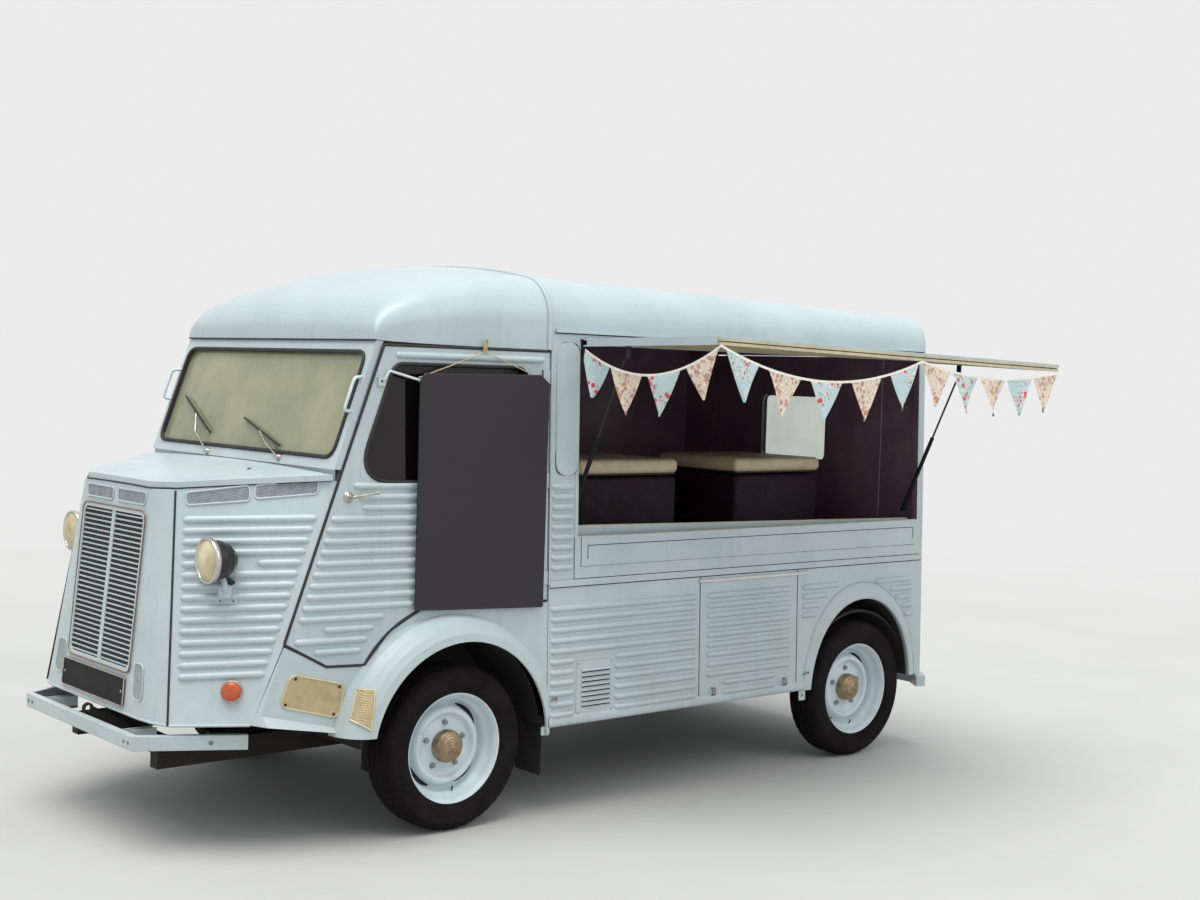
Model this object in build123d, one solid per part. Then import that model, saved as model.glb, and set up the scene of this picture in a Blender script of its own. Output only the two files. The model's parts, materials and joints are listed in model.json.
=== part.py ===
from build123d import *
import math
import os

# Ice cream van, lengths in mm. It is drawn with x forward from the front axle, y to the left
# from the middle plane and z up from the ground, and moved to its own frame when it is written.

# Overall layout
wheelbase = 2500.0
front_track = 1617.0
rear_track = 1650.0
bumper_front_x = 1240.0
body_front_x = -443.0
rear_overhang = 471.0
body_rear_x = -wheelbase - rear_overhang
bumper_rear_x = body_rear_x - 49.0
sill_z = 385.0
belt_z = 985.0
gutter_z = 2085.0
side_low_y = 936.0
side_high_y = 888.0
wall = 30.0
skin = 12.0
gap = 6.0

# Tyre and wheel
tyre_r = 343.0
tyre_half = 88.0
tyre_sides = 48
rim_r = 226.0
rim_half = 62.0
stub_r = 22.0
stub_clearance = 0.06
drum_r = 140.0
drum_depth = 52.0

# Wheel arches
front_arch_r = 434.0
front_arch_z = 359.0
front_flare_r = 557.0
rear_arch_r = 377.0
rear_arch_z = 334.0
rear_flare_r = 470.0
flare_out_y = 948.0
flare_root_y = 790.0
flare_steps = 6

# Turned-out low edge of the front wing
lip_proud = 22.0
lip_height = 42.0
lip_rear_height = 12.0

# Windscreen and door
screen_top_x = 387.0
screen_top_z = 1958.0
screen_low_z = 1537.0
screen_slope = 0.3515
screen_half_y = 747.0
screen_corner_r = 60.0
screen_frame_low_z = 1492.0
screen_frame_top_z = 2004.0
pillar_depth = 34.0
glass_thick = 6.0
door_toe_in = 6.84
door_pivot_y = 905.0
door_thick = 40.0
door_top_z = 1985.0
door_low_z = 935.0
door_nose_z = 820.0
door_gap = 8.0
window_top_z = 1915.0
window_low_z = 1441.0
window_rear_x = -325.0
window_inset = 70.0

# Nose and bonnet
nose_top_z = 1413.0
nose_low_z = 507.0
nose_top_x = 1078.0
nose_low_x = 1161.0
nose_flat_top_y = 290.0
nose_flat_low_y = 400.0
corner_top = (1025.0, 404.0)
corner_low = (1121.0, 566.0)
nose_thick = 22.0
cheek_thick = 25.0
cheek_low_rear = (875.0, 516.0)
grille_half_y = 290.0
grille_low_z = 666.0
grille_top_z = 1303.0
grille_rim = 18.0
slat_count = 30
bonnet_thick = 22.0
bonnet_front_z = 1424.0
bonnet_rear_z = 1490.0
bonnet_crown = 22.0
bonnet_half = 789.0

# Roofs
header_x = 376.0
header_z = 2010.0
frame_half = 787.0
roof_rear_half = 890.0
ridge_mid_z = 2364.0
ridge_rear_z = 2288.0
roof_thick = 25.0
roof_seam_proud = 8.0
roof_seam_width = 22.0

# Serving hatch and flap
hatch_front_x = -600.0
hatch_rear_x = body_rear_x + 51.0
hatch_low_z = 1195.0
hatch_top_z = 2047.0
flap_hinge_y = 895.0
flap_hinge_z = 2050.0
flap_reach = 845.0
flap_thick = 35.0
flap_droop = 2.2
flap_side_gap = 8.0
strut_low_y = 833.0
strut_low_z = 1245.0
strut_eye_reach = 275.0
strut_eye_drop = 62.0
strut_body = 420.0
strut_rod_start = 325.0
strut_r = 10.0
strut_rod_r = 5.0

# Menu board on the left door
board_x = (-419.0, 236.0)
board_low_z = 905.0
board_top_z = 1885.0
board_thick = 9.0
board_stand_off = 9.0

# Hinge knuckles
hinge_r = 5.0
door_hinge_out = 8.0
door_hinge_x = -438.0
door_hinge_z = (1030.0, 1440.0, 1880.0)
knuckle_length = 60.0
tail_hinge_drop = 7.0
tail_hinge_out = 3.0
lid_hinge_out = 3.0

# Rear doors
tail_half_y = 640.0
tail_low_z = 1130.0
tail_top_z = 2040.0
tail_window = (480.0, 360.0, 1640.0)
rear_door_low_z = 430.0
rear_door_thick = 30.0

# Floor and wheel housings
floor_z = 430.0
floor_thick = 40.0
cab_floor_half = 515.0
cab_housing_r = (444.0, 452.0)
cab_housing_y = (507.0, 870.0)
rear_housing_r = (400.0, 412.0)
rear_housing_y = (588.0, 890.0)
housing_top_z = 900.0
bulkhead_top_z = 1380.0
seat_box_x = (-300.0, 80.0)
seat_box_top_z = 830.0

# Lamps
lamp_place = (1000.0, 620.0, 1140.0)
lamp_r = 84.0
indicator_place = (921.0, 640.0)
indicator_r = 37.0

# Tow eye in front and bolt holes in the rear cross member
tow_eye_place = (1190.0, 486.0)
tow_eye_r = 13.0
tow_eye_wall = 9.0
tow_eye_thick = 18.0
tow_bolt_r = 8.5
tow_bolt_gap = 160.0
tow_bolt_z = 352.0

# Front bumper, a channel with angled ends
bumper_corner_y = 503.0
bumper_end = (858.0, 712.0)
bumper_z = (411.0, 470.0)
bumper_depth = 26.0
bumper_skin = 6.0

# Exhaust
exhaust_place = (-250.0, 245.0)
exhaust_r = 22.0
silencer_r = 60.0

# Steering
kingpin_inset = 108.5
kingpin_y = front_track / 2 - kingpin_inset
post_r = 18.0
pin_r = 10.0
lower_arm_z = 180.0
upper_arm_z = 360.0
boss_height = 30.0
trailing_arm = 550.0
rail_y = (340.0, 400.0)
rail_low_z = 300.0
crossmember_x = (body_rear_x + 121.0, -wheelbase + 350.0, -1500.0, -900.0, -300.0, 250.0, 980.0)

# Bunting on the flap
bunting_drop = 170.0
bunting_gap = 3.0
bunting_thick = 5.0

# Pressed ribs
rib_rise = 6.0
rib_half = 12.0
rib_taper = 40.0
rib_sink = 2.0
side_rib_top_z = 890.0
side_rib_pitch = 45.5
door_rib_top_z = 1427.0
door_rib_pitch = 43.2
cheek_rib_top_z = 1302.0
cheek_rib_pitch = 42.4
cheek_rib_drop = 21.0
post_rib_top_z = 1413.0
post_rib_pitch = 43.2
wall_rib_top_z = 1960.0
wall_rib_pitch = 45.5
tail_rib_pitch = 46.0
seam_x = (-1345.0, -wheelbase + 492.0)
seam_half = 2.5
seam_depth = 5.0

# Trim pressed in the side wall
rail_proud = 6.0
rail_height = 28.0
gutter_proud = 12.0
surround_proud = 3.0
surround_low_z = 1016.0
surround_front_x = hatch_front_x + 17.0
fixed_panel = (hatch_rear_x + 15.0, hatch_front_x - 19.0, 1068.0)
post_panel = (-607.0, -461.0, 1463.0, 2030.0)
louvre_plate = (-813.0, -602.0, 417.0, 657.0)
louvre_x = (-793.0, -630.0)
louvre_z = (458.0, 628.0)
louvre_count = 8

# Inside
engine_x = (-60.0, 620.0)
engine_half_y = 200.0
engine_z = (440.0, 1040.0)
bulkhead_x = 500.0
front_freezer_x = (-1500.0, -880.0)
rear_freezer_x = (body_rear_x + 451.0, body_rear_x + 1071.0)
freezer_y = (10.0, 580.0)
freezer_top_z = 1430.0
lid_thick = 75.0
counter_z = 1190.0
seat_y = 430.0
column_tilt = 30.0
steering_wheel_place = (300.0, 370.0, 1300.0)
column_r = 14.0
column_length = 300.0

origin_x = (bumper_front_x + bumper_rear_x) / 2
flap_tip_y = flap_hinge_y + flap_reach * math.cos(math.radians(flap_droop))
origin_y = (flap_tip_y + bunting_gap + bunting_thick - flare_out_y) / 2


def side_y(z):
    """Half width of the body's outer face at height z."""
    return side_low_y + (side_high_y - side_low_y) * (z - sill_z) / (gutter_z - sill_z)


def screen_x(z):
    """Outer face of the windscreen frame in the middle plane."""
    return screen_top_x + screen_slope * (screen_top_z - z)


def door_front_x(z):
    return screen_x(z) - pillar_depth - gap


def outline(points):
    return make_face(Polyline(*points, close=True))


def side_prism(face, y_from, y_to):
    """A face drawn in (x, z), pushed along y."""
    return extrude(Plane.XZ.offset(-y_from) * face, amount=-(y_to - y_from))


def end_prism(face, x_from, x_to):
    """A face drawn in (y, z), pushed along x."""
    return extrude(Plane.YZ.offset(x_from) * face, amount=x_to - x_from)


def plan_prism(face, z_from, z_to):
    """A face drawn in (x, y), pushed up."""
    return extrude(Plane.XY.offset(z_from) * face, amount=z_to - z_from)


def block(x_from, x_to, y_from, y_to, z_from, z_to):
    size = (x_to - x_from, y_to - y_from, z_to - z_from)
    middle = ((x_to + x_from) / 2, (y_to + y_from) / 2, (z_to + z_from) / 2)
    return Pos(*middle) * Box(*size)


def rod(start, end, radius):
    """A round bar from start to end."""
    run = Vector(*end) - Vector(*start)
    return extrude(Plane(origin=start, z_dir=run) * Circle(radius), amount=run.length)


def disc(x, z, radius, y_from, y_to):
    """A cylinder along y."""
    return side_prism(Pos(x, z) * Circle(radius), y_from, y_to)


def wheel_turned(profile, x, y, z):
    """Turns a profile of (radius, outward) points about a wheel's axis, outward to the left."""
    face = Plane.XY * outline(profile)
    ring = revolve(face, Axis.Y, 360)
    return Pos(x, y, z) * ring


def flip(shape):
    return mirror(shape, about=Plane.XZ)


def rounded_box_face(width, height, radius):
    return RectangleRounded(width, height, radius)


def wall_slab(x_from, x_to, z_from, z_to, thick=wall, proud=0.0):
    """The leaning side wall of the left side as a plain slab."""
    low_y = side_y(z_from) + proud
    high_y = side_y(z_to) + proud
    face = outline([(low_y, z_from), (high_y, z_to), (high_y - thick, z_to), (low_y - thick, z_from)])
    return end_prism(face, x_from, x_to)


def side_normal():
    rise = gutter_z - sill_z
    return Vector(0, rise, side_low_y - side_high_y).normalized()


def rib(start, end, normal):
    """A pressed rib with bevelled sides and ends, from start to end on a surface."""
    run = end - start
    half = run.length / 2
    middle = (start + end) * 0.5 - normal * rib_sink
    nose = half - 0.6 * rib_half
    points = [(half, rib_half / 2), (nose, rib_half), (-nose, rib_half), (-half, rib_half / 2),
              (-half, -rib_half / 2), (-nose, -rib_half), (nose, -rib_half), (half, -rib_half / 2)]
    plane = Plane(origin=middle, x_dir=run, z_dir=normal)
    return extrude(plane * outline(points), amount=rib_rise + rib_sink, taper=rib_taper)


def wall_rib(x_from, x_to, z):
    y = side_y(z)
    return rib(Vector(x_from, y, z), Vector(x_to, y, z), side_normal())


def wall_ribs(runs, top_z, pitch):
    """Ribs on the side wall from runs of (line counted from the top, rear x, front x)."""
    return [wall_rib(rear_x, front_x, top_z - pitch * line) for line, rear_x, front_x in runs]


def toed_in(shape):
    """Turns a piece of the side wall into the plane of the cab door."""
    return shape.rotate(Axis((body_front_x, door_pivot_y, 0), (0, 0, 1)), -door_toe_in)


def save(name, shape):
    placed = Pos(-origin_x, -origin_y, 0) * shape
    if isinstance(placed, (list, tuple)):
        placed = Compound(children=list(placed))
    export_step(placed, f"parts/{name}.step")


def both_sides(name, left):
    save(f"{name}_left", left)
    save(f"{name}_right", flip(left))


# Section of a roof: upright edge, shoulder arc, crown arc, in (y, z)
def roof_section(half, base, ridge, shoulder, upright):
    rise = ridge - base - upright
    reach = half - shoulder
    crown_r = (reach ** 2 + rise ** 2 - shoulder ** 2) / (2 * (rise - shoulder))
    crown_z = ridge - crown_r
    to_shoulder = Vector(reach, base + upright - crown_z)
    touch = Vector(0, crown_z) + to_shoulder.normalized() * crown_r
    turn = math.atan2(touch.Y - base - upright, touch.X - reach) / 2
    middle = (reach + shoulder * math.cos(turn), base + upright + shoulder * math.sin(turn))
    right = [Line((half, base), (half, base + upright)),
             ThreePointArc((half, base + upright), middle, (touch.X, touch.Y))]
    crown = ThreePointArc((touch.X, touch.Y), (0, ridge), (-touch.X, touch.Y))
    left = [ThreePointArc((-touch.X, touch.Y), (-middle[0], middle[1]), (-half, base + upright)),
            Line((-half, base + upright), (-half, base))]
    return make_face(Curve() + right + [crown] + left + [Line((-half, base), (half, base))])


def roof_solid(sections, inset):
    """Straight loft of sections (x, half, base, ridge, shoulder, upright), drawn in by inset."""
    faces = []
    for x, half, base, ridge, shoulder, upright in sections:
        face = roof_section(half - inset, base, ridge - inset, max(shoulder - inset, 8.0), upright)
        faces.append(Plane.YZ.offset(x) * face)
    return loft(faces, ruled=True)


# Body shell behind the cab
def make_side_lower():
    slab = wall_slab(body_rear_x + wall, body_front_x, sill_z, belt_z)
    arch = disc(-wheelbase, rear_arch_z, rear_arch_r, 700, 1000)
    under = flare_filling(-wheelbase, rear_arch_z, rear_arch_r, rear_flare_r, rear_flare_root_y())
    for x in seam_x:
        slab -= wall_slab(x - seam_half, x + seam_half, sill_z - 10, belt_z + 10, seam_depth + 5, 5)
    ribs = wall_ribs(side_ribs(), side_rib_top_z, side_rib_pitch)
    side = slab - arch - under + rear_flare() + ribs
    return side + louvre()


# Short ribs round the rear arch: line from the top, rear end and front end from the axle
arch_ribs = [(0, 180.0, 455.0), (1, 271.0, 455.0), (2, 327.0, 455.0), (3, 353.0, 455.0), (0, -392.0, -100.0),
             (1, -392.0, -211.0), (2, -392.0, -262.0), (3, -392.0, -308.0), (4, -392.0, -335.0)]


def side_ribs():
    """Ribs below the belt: full width in the first bay, nine long and two short in the second."""
    front_seam, rear_seam = seam_x
    vent_rear, vent_front, vent_low, vent_high = louvre_plate
    runs = []
    for line in range(11):
        z = side_rib_top_z - side_rib_pitch * line
        if vent_low - rib_half < z < vent_high + rib_half:
            runs.append((line, front_seam + 22, vent_rear - 15))
            runs.append((line, vent_front + 15, body_front_x - 16))
        else:
            runs.append((line, front_seam + 22, body_front_x - 16))
        inset = 48 if line < 9 else 155
        runs.append((line, rear_seam + inset, front_seam - inset))
    return runs + [(line, rear - wheelbase, front - wheelbase) for line, rear, front in arch_ribs]


def louvre():
    """Vent plate with sloping slats low in the first bay."""
    rear_x, front_x, low_z, high_z = louvre_plate
    shape = wall_slab(rear_x, front_x, low_z, high_z, 6, 3)
    low, high = louvre_z
    pitch = (high - low) / louvre_count
    for i in range(louvre_count):
        z = low + pitch * i
        y = side_y(z)
        slat = outline([(y, z), (y + 10, z + 3), (y + 10, z + 5), (y, z + pitch - 3)])
        shape += end_prism(slat, *louvre_x)
    return shape


def flare_profile(inner_r, outer_r, root_y):
    """Cross-section of an arch's rounded lip, as (radius, y) points."""
    outer = []
    for i in range(flare_steps + 1):
        turn = math.radians(90 * i / flare_steps)
        radius = inner_r + (outer_r - inner_r) * math.cos(turn)
        y = root_y + (flare_out_y - root_y) * math.sin(turn)
        outer.append((radius, y))
    inner = []
    for i in range(flare_steps + 1):
        turn = math.radians(90 * i / flare_steps)
        radius = inner_r + (outer_r - inner_r - skin) * math.cos(turn)
        y = root_y + (flare_out_y - root_y - skin) * math.sin(turn)
        inner.append((radius, y))
    return outer + inner[::-1]


def flare_ring(x, z, inner_r, outer_r, root_y):
    face = Plane.XY * outline(flare_profile(inner_r, outer_r, root_y))
    return Pos(x, 0, z) * revolve(face, Axis.Y, 360)


def flare_filling(x, z, inner_r, outer_r, root_y):
    """All that lies inside the outer face of an arch's lip."""
    curve = flare_profile(inner_r, outer_r, root_y)[:flare_steps + 1]
    face = outline([(0.001, 500), (outer_r, 500)] + curve + [(0.001, flare_out_y)])
    return Pos(x, 0, z) * revolve(Plane.XY * face, Axis.Y, 360)


def rear_flare_root_y():
    return side_y(rear_arch_z) - wall


def rear_flare():
    ring = flare_ring(-wheelbase, rear_arch_z, rear_arch_r, rear_flare_r, rear_flare_root_y())
    reach = rear_flare_r + 130
    return ring & block(body_rear_x + wall, reach - wheelbase, 900, 1000, sill_z, 1000)


def make_side_upper(with_hatch):
    rear_x = body_rear_x + wall
    rail_top_z = belt_z + rail_height
    slab = wall_slab(rear_x, body_front_x, belt_z, gutter_z)
    slab += wall_slab(rear_x, body_front_x - 4, belt_z, rail_top_z, 10, rail_proud)
    slab += wall_slab(rear_x, body_front_x - 18, gutter_z - 14, gutter_z, gutter_proud + 8, gutter_proud)
    if with_hatch:
        ribs = wall_ribs([(line, -573, -458) for line in range(9)], post_rib_top_z, post_rib_pitch)
        slab += wall_slab(rear_x, surround_front_x, surround_low_z, hatch_top_z - 8, 10, surround_proud)
        slab += wall_slab(*fixed_panel, hatch_low_z, 10, 2 * surround_proud)
        slab = slab + ribs + post_embossment()
        return slab - block(hatch_rear_x, hatch_front_x, 700, 1000, hatch_low_z, hatch_top_z)
    for x in seam_x:
        slab -= wall_slab(x - seam_half, x + seam_half, rail_top_z, gutter_z - 14, seam_depth + 5, 5)
    front_seam, rear_seam = seam_x
    bays = [(front_seam + 48, body_front_x - 40), (rear_seam + 48, front_seam - 48),
            (rear_x + 50, rear_seam - 48)]
    runs = [(line, bay_rear, bay_front) for line in range(21) for bay_rear, bay_front in bays]
    return slab + wall_ribs(runs, wall_rib_top_z, wall_rib_pitch)


def post_embossment():
    """Tall rounded pressing between the cab door and the hatch."""
    rear_x, front_x, low_z, high_z = post_panel
    face = Pos((rear_x + front_x) / 2, (low_z + high_z) / 2) * rounded_box_face(
        front_x - rear_x - 20, high_z - low_z, 55.0)
    slab = wall_slab(rear_x - 20, front_x + 20, low_z - 20, high_z + 20, 10, 5)
    return slab & side_prism(face, 800, 1000)


body_roof_table = [
    # x, half width, base height, ridge height, shoulder radius, upright
    (body_front_x, side_high_y, gutter_z, ridge_mid_z, 190.0, 30.0),
    (-1700.0, side_high_y, gutter_z, 2326.0, 175.0, 25.0),
    (body_rear_x + wall, side_high_y, gutter_z, ridge_rear_z, 150.0, 20.0),
]

def cab_roof_table():
    """Sections from the header back to the body, on an ellipse, with the columns of the body's roof."""
    table = []
    for turn in (86, 77, 67, 56, 44, 30, 15, 0):
        forward = math.sin(math.radians(turn))
        up = math.cos(math.radians(turn))
        x = body_front_x + 2 + (header_x - body_front_x) * forward
        half = roof_rear_half - (roof_rear_half - frame_half) * forward
        base = header_z - 15 * up
        ridge = header_z + (ridge_mid_z + 2 - header_z) * (0.1 + 0.9 * up)
        table.append((x, half, base, ridge, 22 + 168 * up, 6 + 116 * up))
    return table


def make_body_roof():
    return roof_solid(body_roof_table, 0) - roof_solid(body_roof_table, roof_thick)


def make_cab_roof():
    hollow = roof_solid(cab_roof_table(), roof_thick)
    hollow &= block(body_front_x, header_x - roof_thick, -1000, 1000, 1900, 2500)
    x, half, base, ridge, shoulder, upright = cab_roof_table()[-1]
    proud = roof_seam_proud
    band = roof_section(half + proud, base, ridge + proud, shoulder + proud, upright)
    return roof_solid(cab_roof_table(), 0) + end_prism(band, x, x + roof_seam_width) - hollow


def rear_outline():
    half = side_y(sill_z)
    top = roof_section(*body_roof_table[-1][1:])
    low = outline([(half, sill_z), (side_high_y, gutter_z), (-side_high_y, gutter_z), (-half, sill_z)])
    return top + low


def make_rear_frame():
    plate = end_prism(rear_outline(), body_rear_x, body_rear_x + wall)
    return plate - block(body_rear_x - 100, body_rear_x + 100, -tail_half_y, tail_half_y, rear_door_low_z,
                         tail_top_z)


def make_tailgate():
    width, height, middle_z = tail_window
    panel = block(body_rear_x, body_rear_x + rear_door_thick, gap - tail_half_y, tail_half_y - gap,
                  tail_low_z, tail_top_z - gap)
    window = Pos(0, middle_z) * rounded_box_face(width, height, 40.0)
    hole = end_prism(window, body_rear_x - 100, body_rear_x + 100)
    glass = end_prism(window, body_rear_x + 12, body_rear_x + 12 + glass_thick)
    ribs = []
    for z in (tail_top_z - 60, tail_top_z - 60 - tail_rib_pitch):
        ribs.append(rear_rib(60 - tail_half_y, tail_half_y - 60, z))
    for line in range(6):
        z = tail_low_z + 50 + tail_rib_pitch * line
        ribs.append(rear_rib(60 - tail_half_y, tail_half_y - 60, z))
    pin_x = body_rear_x - tail_hinge_out
    pin_z = tail_top_z - tail_hinge_drop
    pin = rod((pin_x, -tail_half_y + 60, pin_z), (pin_x, tail_half_y - 60, pin_z), hinge_r)
    return (panel + ribs + pin) - hole, glass


def rear_rib(y_from, y_to, z):
    return rib(Vector(body_rear_x, y_from, z), Vector(body_rear_x, y_to, z), Vector(-1, 0, 0))


def make_rear_door():
    panel = block(body_rear_x, body_rear_x + rear_door_thick, gap / 2, tail_half_y - gap,
                  rear_door_low_z + gap, tail_low_z - gap)
    lines = int((tail_low_z - rear_door_low_z - 120) / tail_rib_pitch)
    ribs = []
    for line in range(lines):
        ribs.append(rear_rib(50, tail_half_y - 50, rear_door_low_z + 70 + tail_rib_pitch * line))
    pin_x = body_rear_x - tail_hinge_out
    pin_y = tail_half_y - tail_hinge_drop
    half = knuckle_length / 2
    for z in (rear_door_low_z + 90, tail_low_z - 90):
        ribs.append(rod((pin_x, pin_y, z - half), (pin_x, pin_y, z + half), hinge_r))
    return panel + ribs


def make_floor():
    plate = block(body_rear_x + wall, body_front_x, -900, 900, floor_z - floor_thick, floor_z)
    inner_r, outer_r = rear_housing_r
    inner_y, outer_y = rear_housing_y
    wall_y = inner_y + skin
    for side in (-1, 1):
        y_from, y_to = sorted((side * wall_y, side * 960))
        plate -= block(-wheelbase - inner_r, -wheelbase + inner_r, y_from, y_to, 300, 500)
    for side in (-1, 1):
        arch = disc(-wheelbase, rear_arch_z, outer_r, *sorted((side * inner_y, side * outer_y)))
        arch &= block(-wheelbase - 600, -wheelbase + 600, -1000, 1000, floor_z - floor_thick, housing_top_z)
        plate += arch - disc(-wheelbase, rear_arch_z, inner_r, *sorted((side * wall_y, side * 1000)))
    return plate


def make_cab_floor():
    half = cab_floor_half
    inner_r, outer_r = cab_housing_r
    low_z = floor_z - floor_thick
    plate = block(body_front_x, bulkhead_x, -half, half, low_z, floor_z)
    plate += block(bulkhead_x, bulkhead_x + 20, -half, half, low_z, bulkhead_top_z)
    box = block(*seat_box_x, seat_y - 170, seat_y + 170, floor_z, seat_box_top_z)
    plate += box + flip(box)
    for side in (-1, 1):
        plate -= disc(0, front_arch_z, inner_r, *sorted((side * half, side * 1000)))
    for side in (-1, 1):
        inner_y, outer_y = cab_housing_y
        housing = disc(0, front_arch_z, outer_r, *sorted((side * inner_y, side * outer_y)))
        housing &= block(body_front_x, bulkhead_x, -1000, 1000, low_z, housing_top_z)
        plate += housing - disc(0, front_arch_z, inner_r, *sorted((side * half, side * 1000)))
    plate += block(bulkhead_x - 55, bulkhead_x, -half + 15, half - 15, bulkhead_top_z - 50, bulkhead_top_z - 20)
    engine_rear_x, engine_front_x = engine_x
    engine_low_z, engine_high_z = engine_z
    room = 20
    plate -= block(engine_rear_x - room, engine_front_x + room, -engine_half_y - room, engine_half_y + room,
                   engine_low_z - 100, engine_high_z + room)
    sleeve = steering_place() * Pos(0, 0, 20 - column_length) * Cylinder(column_r + 8, 90)
    sleeve -= steering_place() * Pos(0, 0, -column_length) * Cylinder(column_r + 0.08, 260)
    plate += sleeve + bracket_under_column()
    return plate


def steering_place():
    return Pos(*steering_wheel_place) * Rot(0, -column_tilt, 0)


def bracket_under_column():
    """Plate from the bulkhead to the sleeve that carries the steering column."""
    turn = math.radians(column_tilt)
    reach = column_length - 20
    x = steering_wheel_place[0] + reach * math.sin(turn)
    z = steering_wheel_place[2] - reach * math.cos(turn)
    y = steering_wheel_place[1]
    low = column_r + 4
    plate = block(x - 10, bulkhead_x, y - 6, y + 6, z - 70, z - 5)
    cut = steering_place() * Pos(0, 0, -column_length) * Cylinder(low, 300)
    return plate - cut


def make_chassis():
    rail_in, rail_out = rail_y
    rail_top = floor_z - floor_thick
    shape = None
    for side in (-1, 1):
        y_from, y_to = sorted((side * rail_in, side * rail_out))
        rail = block(body_rear_x + wall, 1080, y_from, y_to, rail_low_z, rail_top)
        rail += block(-100, 100, y_from, y_to, lower_arm_z - 20, rail_low_z)
        shape = rail if shape is None else shape + rail
    for x in crossmember_x:
        shape += block(x - 30, x + 30, -rail_in, rail_in, rail_low_z + 20, rail_top)
    eye_x, eye_z = tow_eye_place
    front_x = crossmember_x[-1]
    arm = outline([(front_x, rail_low_z + 30), (front_x, rail_top - 5), (eye_x - 14, eye_z + 10),
                   (eye_x + 8, eye_z - 18)])
    shape += side_prism(arm, -tow_eye_thick / 2, tow_eye_thick / 2)
    shape += disc(eye_x, eye_z, tow_eye_r + tow_eye_wall, -tow_eye_thick / 2, tow_eye_thick / 2)
    shape -= disc(eye_x, eye_z, tow_eye_r, -tow_eye_thick, tow_eye_thick)
    rear_x = crossmember_x[0]
    for y in (-tow_bolt_gap / 2, tow_bolt_gap / 2):
        shape -= rod((rear_x - 40, y, tow_bolt_z), (rear_x + 40, y, tow_bolt_z), tow_bolt_r)
    return shape


# Cab
def door_outline():
    low_front = (door_front_x(door_nose_z), door_nose_z)
    edges = [Line((body_front_x + 10, door_top_z), (door_front_x(door_top_z), door_top_z)),
             Line((door_front_x(door_top_z), door_top_z), low_front),
             Line(low_front, (572, 726)),
             Line((572, 726), (415, 722)),
             ThreePointArc((415, 722), (305, 850), (150, door_low_z)),
             Line((150, door_low_z), (body_front_x + 10, door_low_z)),
             Line((body_front_x + 10, door_low_z), (body_front_x + 10, door_top_z))]
    return make_face(Curve() + edges)


def window_outline():
    face = outline([(window_rear_x, window_top_z),
                    (door_front_x(window_top_z) - window_inset, window_top_z),
                    (door_front_x(window_low_z) - window_inset, window_low_z),
                    (window_rear_x, window_low_z)])
    return fillet(face.vertices(), 60.0)


# Ribs of the cab door: line from the top, rear x, front x
door_ribs = [(0, -405.0, 462.0), (1, -405.0, 440.0), (2, -405.0, 423.0), (3, -405.0, 559.0),
             (4, -405.0, 576.0), (5, -405.0, 589.0), (6, -405.0, 601.0), (7, -405.0, 618.0),
             (8, -405.0, 633.0), (9, -405.0, 647.0), (10, -405.0, 660.0), (11, 200.0, 674.0),
             (12, 332.0, 689.0), (13, 377.0, 585.0), (14, 403.0, 706.0), (15, 429.0, 627.0)]


def on_door(x, z):
    """The place on the door's outer face that shows at (x, z)."""
    turn = math.radians(-door_toe_in)
    base = Vector(body_front_x, door_pivot_y, 0)
    normal = side_normal().rotate(Axis.Z, -door_toe_in)
    start = Vector(0, side_y(z) - door_pivot_y, z)
    start = base + Vector(-start.Y * math.sin(turn), start.Y * math.cos(turn), z)
    return Vector(x, start.Y - normal.X / normal.Y * (x - start.X), z), normal


def make_door():
    slab = toed_in(wall_slab(body_front_x - 200, 1100, 600, 2100, door_thick))
    panel = slab & side_prism(door_outline(), 500, 1100)
    window = side_prism(window_outline(), 500, 1100)
    glass_slab = toed_in(wall_slab(body_front_x - 200, 1100, 600, 2100, glass_thick, -14.0))
    ribs = []
    for line, rear_x, front_x in door_ribs:
        z = door_rib_top_z - door_rib_pitch * line
        start, normal = on_door(rear_x, z)
        end, normal = on_door(front_x, z)
        ribs.append(rib(start, end, normal))
    start, normal = on_door(-405.0, 1950.0)
    end, normal = on_door(284.0, 1950.0)
    ribs.append(rib(start, end, normal))
    return panel - window + ribs + door_knuckles(), glass_slab & window


def door_knuckles():
    """Three knuckles on the line that the door turns about, each with a leaf on the door's face."""
    lean = side_normal()
    along = Vector(0, -lean.Z, lean.Y)
    knuckles = []
    for z in door_hinge_z:
        middle = Vector(door_hinge_x, side_y(z) + door_hinge_out, z)
        pin = rod(middle - along * (knuckle_length / 2), middle + along * (knuckle_length / 2), hinge_r)
        half = knuckle_length / 2
        leaf = block(0, 42, -door_hinge_out - 4, 1.5 - door_hinge_out / 2, -half, half)
        knuckles.append(pin + Pos(*middle) * leaf)
    return knuckles


def make_screen_frame():
    back = pillar_depth
    side_face = outline([(screen_x(screen_frame_low_z), screen_frame_low_z),
                         (screen_x(screen_frame_top_z), screen_frame_top_z),
                         (screen_x(screen_frame_top_z) - back, screen_frame_top_z),
                         (screen_x(screen_frame_low_z) - back, screen_frame_low_z)])
    frame = side_prism(side_face, -frame_half, frame_half)
    middle_z = (screen_top_z + screen_low_z) / 2
    height = screen_top_z - screen_low_z
    hole_face = Pos(0, middle_z) * rounded_box_face(2 * screen_half_y, height, screen_corner_r)
    hole = end_prism(hole_face, 200, 900)
    low_x, high_x = screen_x(1400) - 14, screen_x(2000) - 14
    glass_face = outline([(low_x, 1400), (high_x, 2000), (high_x - glass_thick, 2000),
                          (low_x - glass_thick, 1400)])
    glass = side_prism(glass_face, -900, 900) & hole
    return frame - hole, glass


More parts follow.
